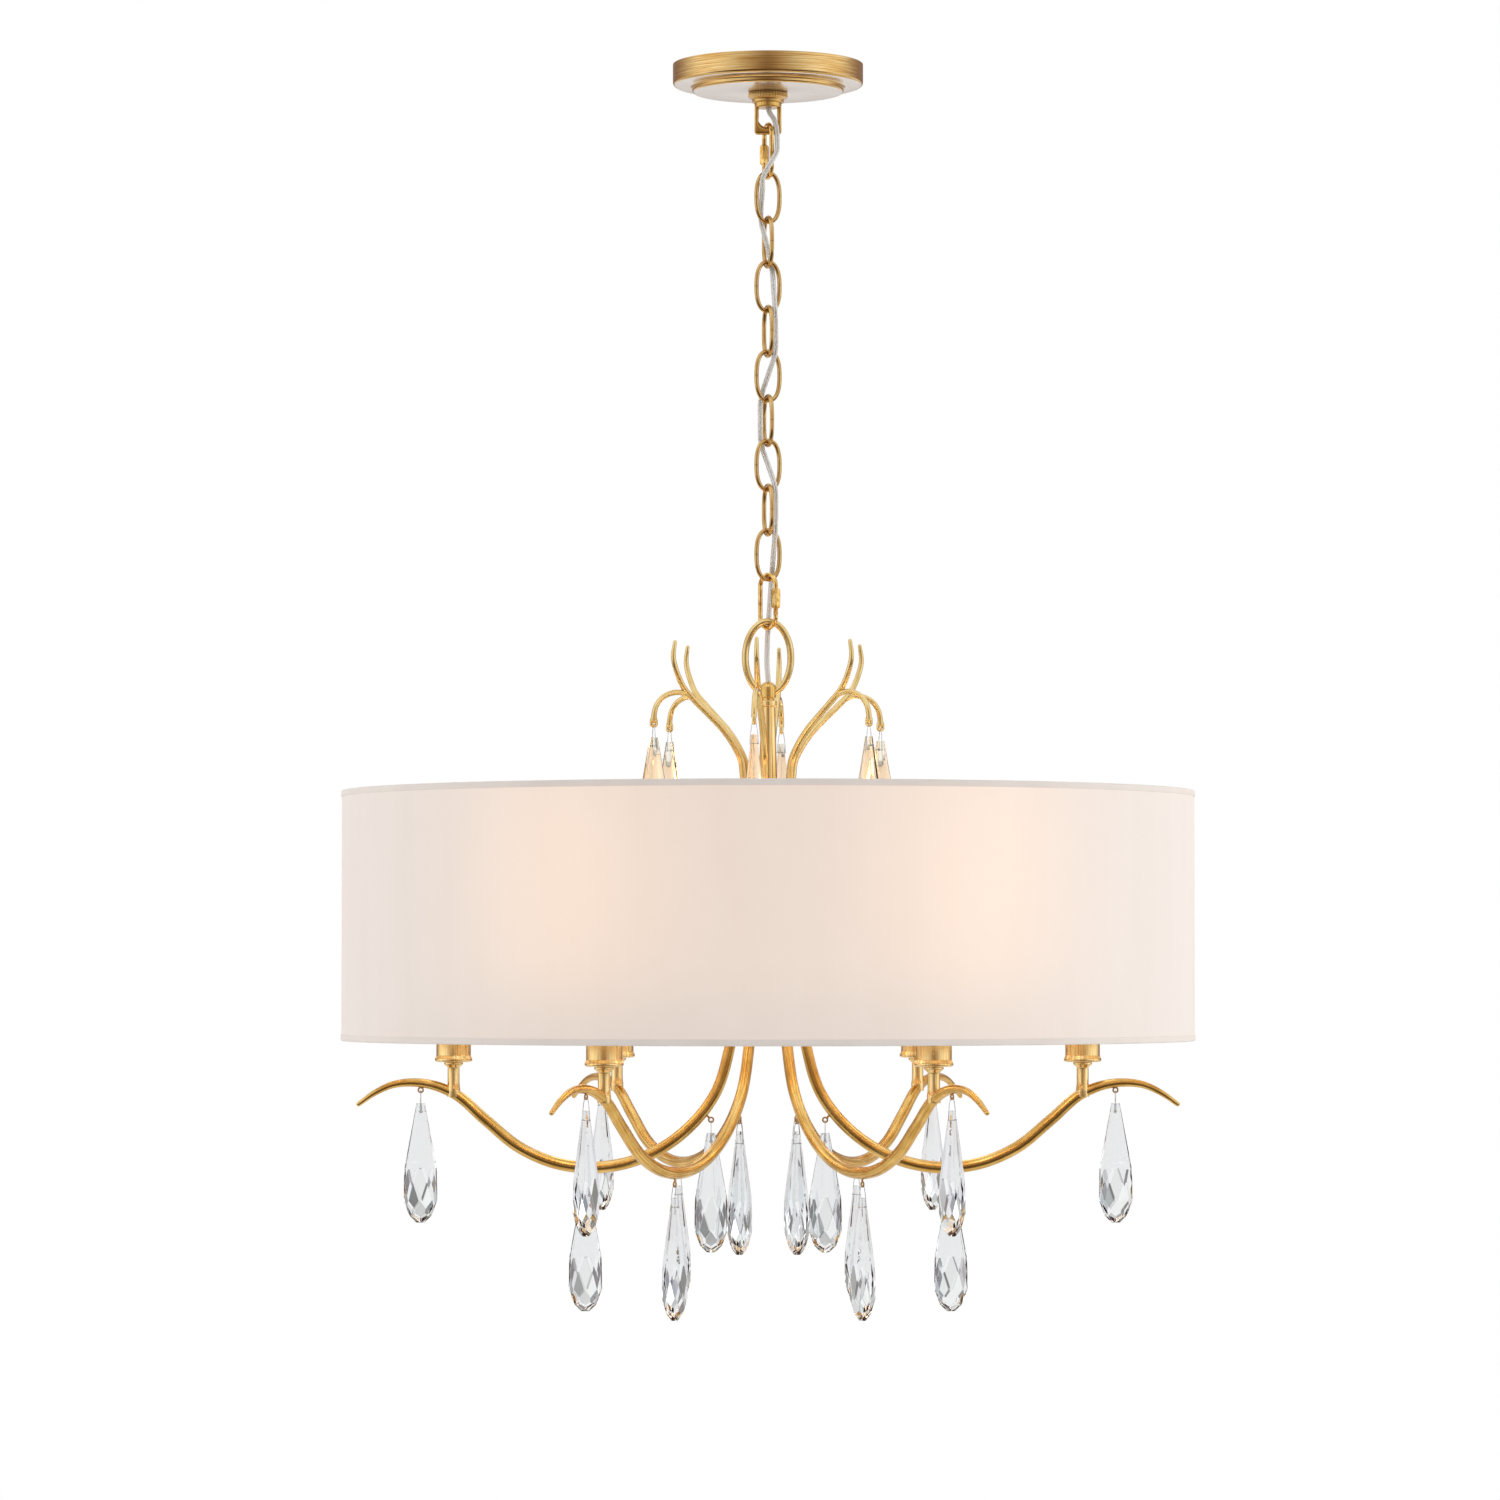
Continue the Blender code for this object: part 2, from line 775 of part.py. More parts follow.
def eyelet_forms(seat, direction, reach):
    """A short stub along the direction from the seat, with a ring in the XZ plane at its end."""
    middle = seat + direction * reach
    forms = [eyelet_ring(middle, 0)]
    start = seat - direction * overrun
    end = middle - direction * eyelet_radius
    stub = tube("stub", [start, end], [stub_diameter] * 2, None, resolution=1, tilt=half_side / 2)
    forms.append(piece("stub", stub))
    return middle, forms


def arm_places():
    """The arm's smooth route with its diameters, and where each of its eyelets sits."""
    knots = [
        (*point, arm_diameter * share)
        for point, share in zip(
            shared_route(arm_route_shares, arm_reach, -arm_depth, hub_bottom),
            arm_thickness_shares,
        )
    ]
    top = (arm_root_radius, 0, hub_bottom + arm_socket_depth - seat_gap, knots[0][3])
    route = smooth_route([top] + knots, arm_point_count)
    dense = smooth_route([top] + knots, 20 * arm_point_count)
    seats = {}
    for spot, share in eyelet_radius_shares.items():
        near = int(np.argmin(np.abs(dense[:, 0] - share * arm_reach)))
        along = Vector(dense[near + 1][:3] - dense[near - 1][:3]).normalized()
        away = Vector((along.z, 0, -along.x)) if spot == "inner" else Vector((0, 0, -1))
        seat = Vector(dense[near][:3]) + away * float(dense[near][3]) / 2
        seats[spot] = (seat, away)
    post_at = int(np.argmin(np.abs(dense[:, 0] - post_circle_radius)))
    return route, seats, float(dense[post_at][2])


def make_arms():
    route, seats, post_foot = arm_places()
    bar = tube("arm", [p[:3] for p in route], [p[3] for p in route], None, tilt=half_side)
    forms = [piece("arm", bar)]
    hang = {}
    for spot, (seat, away) in seats.items():
        middle, rings = eyelet_forms(seat, away, eyelet_reaches[spot])
        hang[spot] = middle
        forms += rings
    cup_bottom = post_foot + post_height
    flange_top = cup_bottom - seat_gap
    profile = [
        (0, cup_bottom + nipple_height),
        (nipple_radius, cup_bottom + nipple_height),
        (nipple_radius, flange_top),
        (post_flange_radius, flange_top),
        (post_flange_radius, flange_top - post_flange_height),
        (post_radius, flange_top - post_flange_height),
        (post_radius, post_foot - post_root_depth),
        (0, post_foot - post_root_depth),
    ]
    post = turned("post", profile, post_steps, None, closed=False)
    post.location = (post_circle_radius, 0, 0)
    forms.append(piece("post", post))
    mesh = combined("arm", forms)
    smooth(mesh)
    for number in range(arm_count):
        arm = add_object(f"arm_{number + 1}", mesh, gold)
        place(arm, 0, 0, 0, 2 * math.pi * number / arm_count)
    return hang, cup_bottom


def make_cups(cup_bottom):
    hole = (nipple_radius + thread_gap) / math.cos(math.pi / cup_steps)
    top = cup_height
    profile = [
        (cup_radius, top),
        (cup_radius, cup_foot_height),
        (cup_foot_radius, cup_foot_height),
        (cup_foot_radius, 0),
        (hole, 0),
        (hole, cup_floor),
        (cup_radius - cup_wall, cup_floor),
        (cup_radius - cup_wall, top),
    ]
    for number in range(arm_count):
        turn = 2 * math.pi * number / arm_count
        cup = turned(f"candle_cup_{number + 1}", profile, cup_steps, gold)
        place(cup, *around(post_circle_radius, turn), cup_bottom, turn)


def make_branch_hub():
    """The turned hub with its six branches, each a stalk with a twig and a hook with an eye."""
    e = hub_edge
    waist = hub_top - hub_height / 2
    bore = (stem_thread_radius + thread_gap) / math.cos(math.pi / small_steps)
    profile = [
        (hub_crown_radius - e, hub_top),
        (hub_crown_radius, hub_top - e),
        (hub_crown_radius, waist + e),
        (hub_radius, waist),
        (hub_radius, hub_bottom + e),
        (hub_radius - e, hub_bottom),
        (bore, hub_bottom),
        (bore, hub_bottom + hub_wall),
        (hub_cavity_radius, hub_bottom + hub_wall),
        (hub_cavity_radius, hub_top - hub_wall),
        (bore, hub_top - hub_wall),
        (bore, hub_top),
    ]
    forms = [piece("hub", turned("hub", profile, hub_steps, None))]
    stalk = shared_route(branch_route_shares, branch_reach, branch_rise, hub_top)
    hook = shared_route(hook_route_shares, branch_reach, branch_rise, hub_top)
    eye_seat = Vector((branch_reach, 0, hub_top + branch_eye_share * branch_rise))
    widths = [branch_diameter * share for share in branch_thickness_shares]
    hook_widths = [branch_diameter * hook_thickness_share] * len(hook)
    for number in range(arm_count):
        angle = branch_turn + 2 * math.pi * number / arm_count
        turn = Matrix.Rotation(angle, 4, "Z")
        for name, points, diameters, bevel_steps in (
            ("stalk", stalk, widths, branch_bevel_steps),
            ("hook", hook, hook_widths, twig_bevel_steps),
        ):
            rod = tube(name, [turn @ Vector(p) for p in points], diameters, None, bevel_steps)
            forms.append(piece(name, rod))
        forms.append(eyelet_ring(turn @ eye_seat, angle))
    sockets = []
    for number in range(arm_count):
        turn = 2 * math.pi * number / arm_count
        radius = arm_diameter * arm_thickness_shares[0] / 2 + thread_gap
        sockets.append(
            cylinder(
                "socket",
                radius / math.cos(math.pi / socket_sides),
                hub_bottom - overrun,
                hub_bottom + arm_socket_depth,
                socket_sides,
                around(arm_root_radius, turn),
            )
        )
    mesh = combined("branch_hub", forms, sockets)
    smooth(mesh)
    add_object("branch_hub", mesh, gold)
    return eye_seat


def crystal_mesh():
    """A faceted drop and its wire bail. The middle of the bail's top wire is at the origin."""
    right_side = [
        (bail_throat * bail_crown_share, 0),
        (bail_throat, -eyelet_radius * bail_shoulder_share),
        (bail_half_width, -bail_drop * bail_foot_share),
        (bail_half_width * bail_foot_width_share, -bail_drop),
    ]
    bail_points = [(0, across, up) for across, up in right_side]
    bail_points += [(0, -across, up) for across, up in reversed(right_side)]
    bail = tube("bail", bail_points, [bail_wire] * len(bail_points), None, 0, cyclic=True)
    top = -bail_drop + crystal_hole_depth
    mesh = bpy.data.meshes.new("drop")
    work = bmesh.new()
    for at, wide, thick, twist in crystal_ring_shares:
        for side in range(crystal_sides):
            angle = 2 * math.pi * (side + twist) / crystal_sides
            work.verts.new(
                (
                    crystal_width / 2 * wide * math.cos(angle),
                    crystal_thickness / 2 * thick * math.sin(angle),
                    top - crystal_length * at,
                )
            )
    work.verts.new((0, 0, top - crystal_length))
    bmesh.ops.convex_hull(work, input=work.verts)
    work.to_mesh(mesh)
    work.free()
    drop = piece("drop", add_object("drop", mesh))
    return combined("crystal", [drop, piece("bail", bail)])


def make_crystals(hang, eye_seat):
    mesh = crystal_mesh()
    rise = eyelet_wire / 2 + bail_wire / 2 + seat_gap - eyelet_radius
    pivots = {
        "tip_crystal": (hang["tip"], 0),
        "low_crystal": (hang["low"], 0),
        "inner_crystal": (hang["inner"], 0),
        "branch_crystal": (eye_seat, branch_turn),
    }
    for name, (middle, start) in pivots.items():
        for number in range(arm_count):
            turn = start + 2 * math.pi * number / arm_count
            crystal = add_object(f"{name}_{number + 1}", mesh, glass)
            place(crystal, *around(middle.x, turn), middle.z + rise, turn)
        print(name, "pivot radius and height", round(middle.x, 5), round(middle.z + rise, 5))


def make_cord():
    turn = Matrix.Rotation(chain_turn, 4, "Z")
    knots = [Vector(p) for p in cord_head]
    knots += [turn @ Vector(p) for p in cord_in_chain]
    knots += [Vector(p) for p in cord_foot]
    route = smooth_route([tuple(k) for k in knots], cord_point_count)
    steps = np.linalg.norm(np.diff(route, axis=0), axis=1)
    print("power_cord length", round(float(steps.sum()), 4))
    tube("power_cord", [tuple(p) for p in route], [cord_diameter] * len(route), clear_plastic)


def carry_on_empties():
    """The chain's pieces hang from each other in turn, and the fixture's from the lowest pivot."""
    bpy.context.view_layer.update()
    fixture = bpy.data.objects.new("fixture_pivot", None)
    chandelier.objects.link(fixture)
    fixture.location = (0, 0, lower_quick_bottom)
    bpy.context.view_layer.update()
    hung = ["hanging_loop", "stem", "stem_nut", "shade_cover", "shade_frame", "branch_hub"]
    prefixes = ("arm_", "candle_cup_", "tip_", "low_", "inner_", "branch_crystal_")
    for obj in chandelier.objects:
        if obj.name in hung or obj.name.startswith(prefixes):
            obj.parent = fixture
            obj.matrix_parent_inverse = fixture.matrix_world.inverted()


clear_scene()
chandelier = new_collection("chandelier")
cutters = new_collection("cutters")
gold = new_finish("gold_leaf", (0.83, 0.55, 0.20), 0.35, 1.0)
steel = new_finish("zinc_plated_steel", (0.62, 0.62, 0.60), 0.4, 1.0)
glass = new_finish("cut_crystal", (0.95, 0.95, 0.97), 0.02, 0.0)
cloth = new_finish("shade_fabric", (0.90, 0.86, 0.80), 0.9, 0.0)
clear_plastic = new_finish("clear_plastic", (0.75, 0.74, 0.72), 0.3, 0.0)

make_canopy()
make_crossbar()
make_collar()
make_canopy_loop()
make_quick_link("top_quick_link", upper_quick_top, loop_pivot, chain_turn + math.pi / 2, True)
make_chain()
make_quick_link(
    "bottom_quick_link", lower_quick_top, last_link_bottom, lower_quick_turn, False
)
make_cord()
make_hanging_loop()
make_stem()
make_shade()
make_shade_frame()
hang_places, cups_bottom = make_arms()
make_cups(cups_bottom)
branch_eye = make_branch_hub()
make_crystals(hang_places, branch_eye)
carry_on_empties()
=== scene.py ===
import math
from functools import partial

import bmesh
import bpy
import numpy as np
from mathutils import Matrix, Vector


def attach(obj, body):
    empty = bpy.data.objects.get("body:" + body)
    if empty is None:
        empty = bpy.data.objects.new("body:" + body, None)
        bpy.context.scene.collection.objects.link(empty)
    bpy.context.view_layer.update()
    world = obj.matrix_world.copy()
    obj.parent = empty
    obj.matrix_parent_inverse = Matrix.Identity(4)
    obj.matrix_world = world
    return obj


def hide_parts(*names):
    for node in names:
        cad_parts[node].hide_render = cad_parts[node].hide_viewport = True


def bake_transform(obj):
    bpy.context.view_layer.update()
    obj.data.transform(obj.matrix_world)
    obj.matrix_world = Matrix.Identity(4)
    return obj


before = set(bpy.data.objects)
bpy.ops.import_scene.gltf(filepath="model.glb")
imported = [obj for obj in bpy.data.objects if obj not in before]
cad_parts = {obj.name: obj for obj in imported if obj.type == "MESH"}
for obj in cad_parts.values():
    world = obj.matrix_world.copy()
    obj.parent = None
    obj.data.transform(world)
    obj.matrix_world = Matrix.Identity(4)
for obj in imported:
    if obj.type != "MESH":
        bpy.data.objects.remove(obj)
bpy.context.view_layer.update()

scene = bpy.context.scene
scene.view_settings.view_transform = "Standard"

# The photograph is a catalogue shot on white, taken through a long lens
photoView = {"distance": 4.57, "eyeHeight": -0.698, "aside": -0.014, "tiltUp": 2.06, "lens": 141.6}

camera = bpy.data.objects.new("photoCamera", bpy.data.cameras.new("photoCamera"))
scene.collection.objects.link(camera)
camera.location = (photoView["aside"], -photoView["distance"], photoView["eyeHeight"])
camera.rotation_euler = (math.radians(90 + photoView["tiltUp"]), 0, 0)
camera.data.lens = photoView["lens"]
camera.data.sensor_width = 36
camera.data.clip_end = 200
scene.camera = camera


def toLinear(hexColour):
    parts = [int(hexColour[i:i + 2], 16) / 255 for i in (1, 3, 5)]
    return (*[c / 12.92 if c <= 0.04045 else ((c + 0.055) / 1.055) ** 2.4 for c in parts], 1)


def setInputs(node, inputs):
    # an input takes a plain value, an output, or a whole node for the first output that it has open
    for name, value in inputs.items():
        if isinstance(value, bpy.types.Node):
            value = next(output for output in value.outputs if output.enabled)
        if isinstance(value, bpy.types.NodeSocket):
            node.id_data.links.new(value, node.inputs[name])
        else:
            node.inputs[name].default_value = value


def addNode(tree, kind, inputs=None, **settings):
    node = tree.nodes.new("ShaderNode" + kind)
    for name, value in settings.items():
        setattr(node, name, value)
    setInputs(node, inputs or {})
    return node


def setRamp(node, places, colours):
    ramp = node.color_ramp
    while len(ramp.elements) < len(places):
        ramp.elements.new(1)
    for element, place, colour in zip(ramp.elements, places, colours):
        element.position = place
        element.color = toLinear(colour)
    return node


def newMaterial(name):
    material = bpy.data.materials.new(name)
    material.use_nodes = True
    tree = material.node_tree
    return material, tree.nodes["Principled BSDF"], partial(addNode, tree)


white = (1, 1, 1, 1)
lighting = {
    "daylightFront": 0.13, "daylightSides": 1.29,
    "roomDark": 0.34, "sidePanels": 1.56, "behindObject": 0.32, "overhead": 1.40, "sweep": 0.82,
    "darkTint": "#FFD2B2", "brightTint": "#EFF4FF", "throughGlass": 0.90,
    # where the room changes, by the direction looked in: the axis, where it starts and is done
    "zones": {
        "panels": ("aside", 0.06, 0.92), "beyond": ("Y", -0.05, 0.95), "above": ("Z", 0.12, 0.62),
        "below": ("Z", -0.01, -0.12), "back": ("Y", 0.2, 0.7), "ahead": ("Y", 0.988, 0.9993),
        "openSides": ("aside", 0.36, 0.74),
    },
    "softboxes": {  # place, size and power
        "key": ((-3.1, -2.2, 1.3), 2.8, 22), "fill": ((3.5, -1.5, 0.4), 3.2, 32),
        "low": ((0.4, -2.6, -2.6), 2.0, 6), "top": ((0.0, 1.6, 2.2), 2.4, 22),
    },
    "aim": (0, 0, -0.6),
    "floorHeight": -5.2, "floorHalf": 30, "floorGlow": 0.42, "floorLift": 0.3,
    "floorPaint": "#F2F2F1", "floorDark": "#6E5E50", "floorDarkens": (-1.4, -4.8),
}


def addMirrored(add, rays):
    # rays thrown on by metal, not by glass
    return add("Math", {0: rays["Is Glossy Ray"], 1: rays["Is Transmission Ray"]},
               operation="SUBTRACT", use_clamp=True)


def makeWorld(settings):
    world = bpy.data.worlds.new("studioWhite")
    scene.world = world
    world.use_nodes = True
    world.node_tree.nodes.clear()
    add = partial(addNode, world.node_tree)
    rays = add("LightPath").outputs
    coords = add("TexCoord").outputs["Generated"]
    axes = dict(add("SeparateXYZ", {"Vector": coords}).outputs.items())
    axes["aside"] = add("Math", {0: axes["X"]}, operation="ABSOLUTE")
    zones = {}
    for name, (axis, start, done) in settings["zones"].items():
        zones[name] = add("MapRange", {
            "Value": axes[axis], "From Min": start, "From Max": done,
        }, interpolation_type="LINEAR" if name == "panels" else "SMOOTHSTEP")
    # what metal mirrors: a dim warm room behind the camera that brightens evenly to both sides,
    # and the white sweep behind the object, for what looks down and back
    sweep = add("Math", {0: zones["below"], 1: zones["back"]}, operation="MULTIPLY")
    room = settings["roomDark"]
    for zone, tone in ((zones["panels"], "sidePanels"), (zones["beyond"], "behindObject"),
                       (zones["above"], "overhead"), (sweep, "sweep")):
        room = add("Mix", {"Factor": zone, "A": room, "B": settings[tone]})
    # what cut glass gathers: the white sweep straight through, and patches of the room elsewhere
    patches = add("TexNoise", {"Vector": coords, "Scale": 6.5, "Detail": 2.0, "Roughness": 0.6})
    gathered = add("MapRange", {
        "Value": patches, "From Min": 0.40, "From Max": 0.56, "To Min": 0.24, "To Max": 1.0,
    }, interpolation_type="SMOOTHSTEP")
    throughGlass = add("Mix", {
        "Factor": zones["ahead"], "A": gathered, "B": settings["throughGlass"]})
    strength = add("Mix", {
        "Factor": zones["openSides"], "A": settings["daylightFront"],
        "B": settings["daylightSides"]})
    for kind, tone in (("Glossy", room), ("Transmission", throughGlass), ("Camera", 1.0)):
        strength = add("Mix", {"Factor": rays[f"Is {kind} Ray"], "A": strength, "B": tone})
    # 6 and 7 are the two colours of a colour mix
    cast = add("Mix", {
        "Factor": room, 6: toLinear(settings["darkTint"]), 7: toLinear(settings["brightTint"]),
    }, data_type="RGBA")
    cast = add("Mix", {"Factor": addMirrored(add, rays), 6: white, 7: cast}, data_type="RGBA")
    add("OutputWorld", {"Surface": add("Background", {"Color": cast, "Strength": strength})})


def addSoftbox(name, place, size, power):
    lamp = bpy.data.lights.new(name, "AREA")
    lamp.size = size
    lamp.energy = power
    holder = bpy.data.objects.new(name, lamp)
    scene.collection.objects.link(holder)
    holder.location = place
    aim = Vector(lighting["aim"]) - Vector(place)
    holder.rotation_euler = aim.to_track_quat("-Z", "Y").to_euler()
    # metal mirrors the room's own bright sides, which have no hard edges as a softbox has
    holder.visible_glossy = False


def makeFloor(settings):
    mesh = bpy.data.meshes.new("paleFloor")
    half = settings["floorHalf"]
    mesh.from_pydata([(-half, -half, 0), (half, -half, 0), (half, half, 0), (-half, half, 0)],
                     [], [(0, 1, 2, 3)])
    floor = bpy.data.objects.new("paleFloor", mesh)
    scene.collection.objects.link(floor)
    floor.location.z = settings["floorHeight"]
    paint, shader, add = newMaterial("WhiteFloorPaint")
    rays = add("LightPath").outputs
    # metal sees the floor toward the camera as the dark end of the room, and the rest as white
    place = add("SeparateXYZ", {"Vector": add("TexCoord").outputs["Object"]}).outputs
    start, done = settings["floorDarkens"]
    far = add("MapRange", {"Value": place["Y"], "From Min": start, "From Max": done},
              interpolation_type="SMOOTHSTEP")
    dark = add("Math", {0: far, 1: addMirrored(add, rays)}, operation="MULTIPLY")
    tone = add("Mix", {
        "Factor": dark, 6: toLinear(settings["floorPaint"]), 7: toLinear(settings["floorDark"]),
    }, data_type="RGBA")
    # lifted for every ray but the ones that light the object, so it never tints the metal
    seen = add("Math", {0: 1.0, 1: rays["Is Diffuse Ray"]}, operation="SUBTRACT")
    near = add("Math", {0: seen, 1: dark}, operation="SUBTRACT", use_clamp=True)
    # straight to the eye it is as white as the sweep behind it, so that no horizon shows
    lift = add("Math", {0: rays["Is Camera Ray"], 1: settings["floorLift"]}, operation="MULTIPLY")
    glow = add("Math", {0: near, 1: settings["floorGlow"], 2: lift}, operation="MULTIPLY_ADD")
    setInputs(shader, {
        "Base Color": tone, "Roughness": 0.8, "Emission Color": white, "Emission Strength": glow})
    mesh.materials.append(paint)


makeWorld(lighting)
for lampName, (place, size, power) in lighting["softboxes"].items():
    addSoftbox(lampName + "Softbox", place, size, power)
makeFloor(lighting)
print("studio ready")


# Gold leaf on steel: thin brass-coloured leaf, brushed along each piece while wet, so the eye
# sees long pale and amber streaks, with browner hollows where the glaze stays. The tones run
# from hollow through body and leaf to glint.
goldLeaf = {
    "tones": ("#80551E", "#BA8940", "#DFB566", "#FADD9C"), "toneAt": (0.26, 0.42, 0.56, 0.72),
    "streakLength": 0.040, "streakWidth": 0.0006, "patch": 0.014, "patchShare": 0.26,
    "smoothest": 0.15, "roughest": 0.29, "brushDepth": 0.00006,
}


def makeGold(name, leaf, **changes):
    leaf = {**leaf, **changes}
    material, shader, add = newMaterial(name)
    brushed = add("Mapping", {
        "Vector": add("UVMap", uv_map="surface"),
        "Scale": (1 / leaf["streakLength"], 1 / leaf["streakWidth"], 1)})
    streaks = add("TexNoise", {"Vector": brushed, "Scale": 1.0, "Detail": 3.0, "Roughness": 0.6})
    patches = add("TexNoise", {
        "Vector": add("TexCoord").outputs["Object"], "Scale": 1 / leaf["patch"], "Detail": 4.0,
        "Roughness": 0.55})
    mottle = 0.0
    for noise, share in ((streaks, 1 - leaf["patchShare"]), (patches, leaf["patchShare"])):
        mottle = add("Math", {0: noise, 1: share, 2: mottle}, operation="MULTIPLY_ADD")
    setInputs(shader, {
        "Base Color": setRamp(add("ValToRGB", {"Fac": mottle}), leaf["toneAt"], leaf["tones"]),
        "Roughness": add("MapRange", {
            "Value": mottle, "From Min": 0.3, "From Max": 0.7, "To Min": leaf["roughest"],
            "To Max": leaf["smoothest"]}),
        "Metallic": 1.0,
        "Normal": add("Bump", {
            "Height": streaks, "Strength": 0.24, "Distance": leaf["brushDepth"]}),
    })
    return material


gold = makeGold("BrushedGoldLeaf", goldLeaf)
# The same leaf in browner tones, for the eyelets
brownGold = makeGold("BrownerGoldLeaf", goldLeaf, smoothest=0.28,
                     tones=("#6E4A22", "#A67A40", "#C4985A", "#E2BE84"))
# Turned parts were leafed over a smoother ground: satin, yellower, with hardly a mottle. Its
# tones are also painted brighter, painted light that makes up for the light the shade keeps off the
# cups
satinLeaf = {
    **goldLeaf, "tones": ("#BC8E4A", "#D9AE66", "#EDCB8A", "#FAE4B2"), "streakWidth": 0.0009,
    "patch": 0.030, "patchShare": 0.14, "smoothest": 0.13, "roughest": 0.20,
}
satinGoldPaintedBright = makeGold("SatinGoldLeafPaintedBright", satinLeaf)
# The canopy rim and collar take the same satin leaf in darker tones: painted shade that holds down
# the bright reflections on the rim
rimGoldPaintedDim = makeGold("SpunGoldLeafPaintedDim", satinLeaf, smoothest=0.16, roughest=0.23,
                   tones=("#9C6C2E", "#BE8F4C", "#D2AE70", "#E8CC98"))
# The branches took a paler leaf, and the chain is antique plate: browner and lower in its hollows
branchGold = makeGold("PaleGoldLeaf", goldLeaf,
                      tones=("#9A7130", "#C9A25C", "#E2C585", "#F8E6B4"))
chainGold = makeGold("AntiqueBrassPlate", goldLeaf, streakLength=0.014, smoothest=0.14,
                     roughest=0.27, tones=("#745224", "#AB8246", "#CAA466", "#EED9A6"))
# Quick links are leafed over a forged, slightly hammered bar
hammeredGold = makeGold("HammeredGoldLeaf", goldLeaf, patch=0.004, patchShare=0.38,
                        streakLength=0.008, streakWidth=0.0012, brushDepth=0.0002,
                        tones=("#80551E", "#BA8940", "#ECC478", "#FBE8BC"))
# Seen from below, the canopy's satin leaf mirrors the pale floor and loses its colour; that
# reflection is painted into the leaf's tones, a pale grey copy for the faces that look down
paintedReflectionGold = makeGold("SatinLeafPaintedFloorReflection", goldLeaf, patch=0.03, smoothest=0.17, roughest=0.27,
                    tones=("#CDBCA8", "#DCD0C1", "#E4DBCF", "#ECE5DB"))


# Cut crystal is leaded glass: heavy bending of light, so it shows the room in slivers. The
# coating on such drops gives the faint blue and pink film.
def makeGlass(name, tint, filmNanometres):
    material, shader, add = newMaterial(name)
    # polish haze: a very slow change, about 20 mm across
    haze = add("TexNoise", {
        "Vector": add("TexCoord").outputs["Object"], "Scale": 50.0, "Detail": 2.0})
    rough = add("MapRange", {
        "Value": haze, "From Min": 0.35, "From Max": 0.65, "To Min": 0.0, "To Max": 0.03})
    setInputs(shader, {
        "Roughness": rough, "Base Color": toLinear(tint), "Transmission Weight": 1.0, "IOR": 1.52,
        "Thin Film Thickness": filmNanometres, "Thin Film IOR": 1.38})
    return material


crystalGlass = makeGlass("CutLeadCrystal", "#F0F2F3", 300)
warmCrystalGlass = makeGlass("ChampagneCrystal", "#FCF6E8", 220)


def makeMottled(name, colours, grain, roughness, kind):
    # colours and roughness run from the dull spots to the bright ones
    material, shader, add = newMaterial(name)
    spots = add("TexNoise", {
        "Vector": add("TexCoord").outputs["Object"], "Scale": 1 / grain, "Detail": kind["detail"]})
    rough = add("MapRange", {
        "Value": spots, "From Min": 0.3, "From Max": 0.7, "To Min": roughness[0],
        "To Max": roughness[1]})
    ramp = setRamp(add("ValToRGB", {"Fac": spots}), kind["toneAt"], colours)
    setInputs(shader, {"Base Color": ramp, "Roughness": rough, "Metallic": kind["metallic"]})
    return material


bareMetal = {"toneAt": (0.35, 0.62), "detail": 4.0, "metallic": 1.0}
plastic = {"toneAt": (0.3, 0.7), "detail": 3.0, "metallic": 0.0}
# Stainless wire: drawn bright, so it reads as thin silver lines
stainlessWire = makeMottled("StainlessWire", ("#A9ABAD", "#D9DADB"), 0.002, (0.28, 0.16), bareMetal)
# Zinc plate: pale grey with a soft spangle a few millimetres across
zincPlate = makeMottled("ZincPlatedSteel", ("#8E9192", "#C4C6C6"), 0.004, (0.45, 0.30), bareMetal)
# Bottom of a screw's cross recess: the same zinc painted dark, a painted shadow
paintedRecessShadow = makeMottled("ZincPaintedRecessShadow", ("#3A3C3E", "#55585A"), 0.003, (0.55, 0.40), bareMetal)
# Nickelled brass shell of the lamp base: pale, with the brass showing through where it is worn
lampBrass = makeMottled("NickelledBrass", ("#A48F5E", "#D8C9A0"), 0.003, (0.36, 0.22), bareMetal)
# Phenolic lamp holder: moulded, dark ivory, slightly dull
phenolic = makeMottled("IvoryPhenolic", ("#E2D7C2", "#EFE7D6"), 0.006, (0.54, 0.3825), plastic)
# Styrene lining: smooth white film inside the cloth
styrene = makeMottled("WhiteStyreneLining", ("#F1EAE2", "#F7F2EC"), 0.05, (0.6, 0.425), plastic)


# Shade cloth: cream polyester bonded to clear styrene. The threads are about 0.35 mm apart,
# drawn at 1.4 mm so that they show. The warm patch that each lamp behind it leaves is painted glow
# on the cloth.
shadeCloth = {
    "warp": "#FAF1EB", "weft": "#F6ECE5", "threadSpacing": 0.0014, "slub": 0.035,
    "weaveShare": 0.35, "weaveDepth": 0.0001, "paintedGlowColour": "#FFC68E", "paintedGlowHeight": -0.636,
    "paintedGlowReach": 0.085, "paintedGlowPeak": 0.28, "paintedGlowAround": 0.17, "paintedShadeLowEdge": (-0.758, -0.690),
    "paintedShadeLowShare": 0.62, "radius": 0.33, "paintedGlowFadeFrom": 0.13, "paintedGlowFadeTo": 0.08,
}


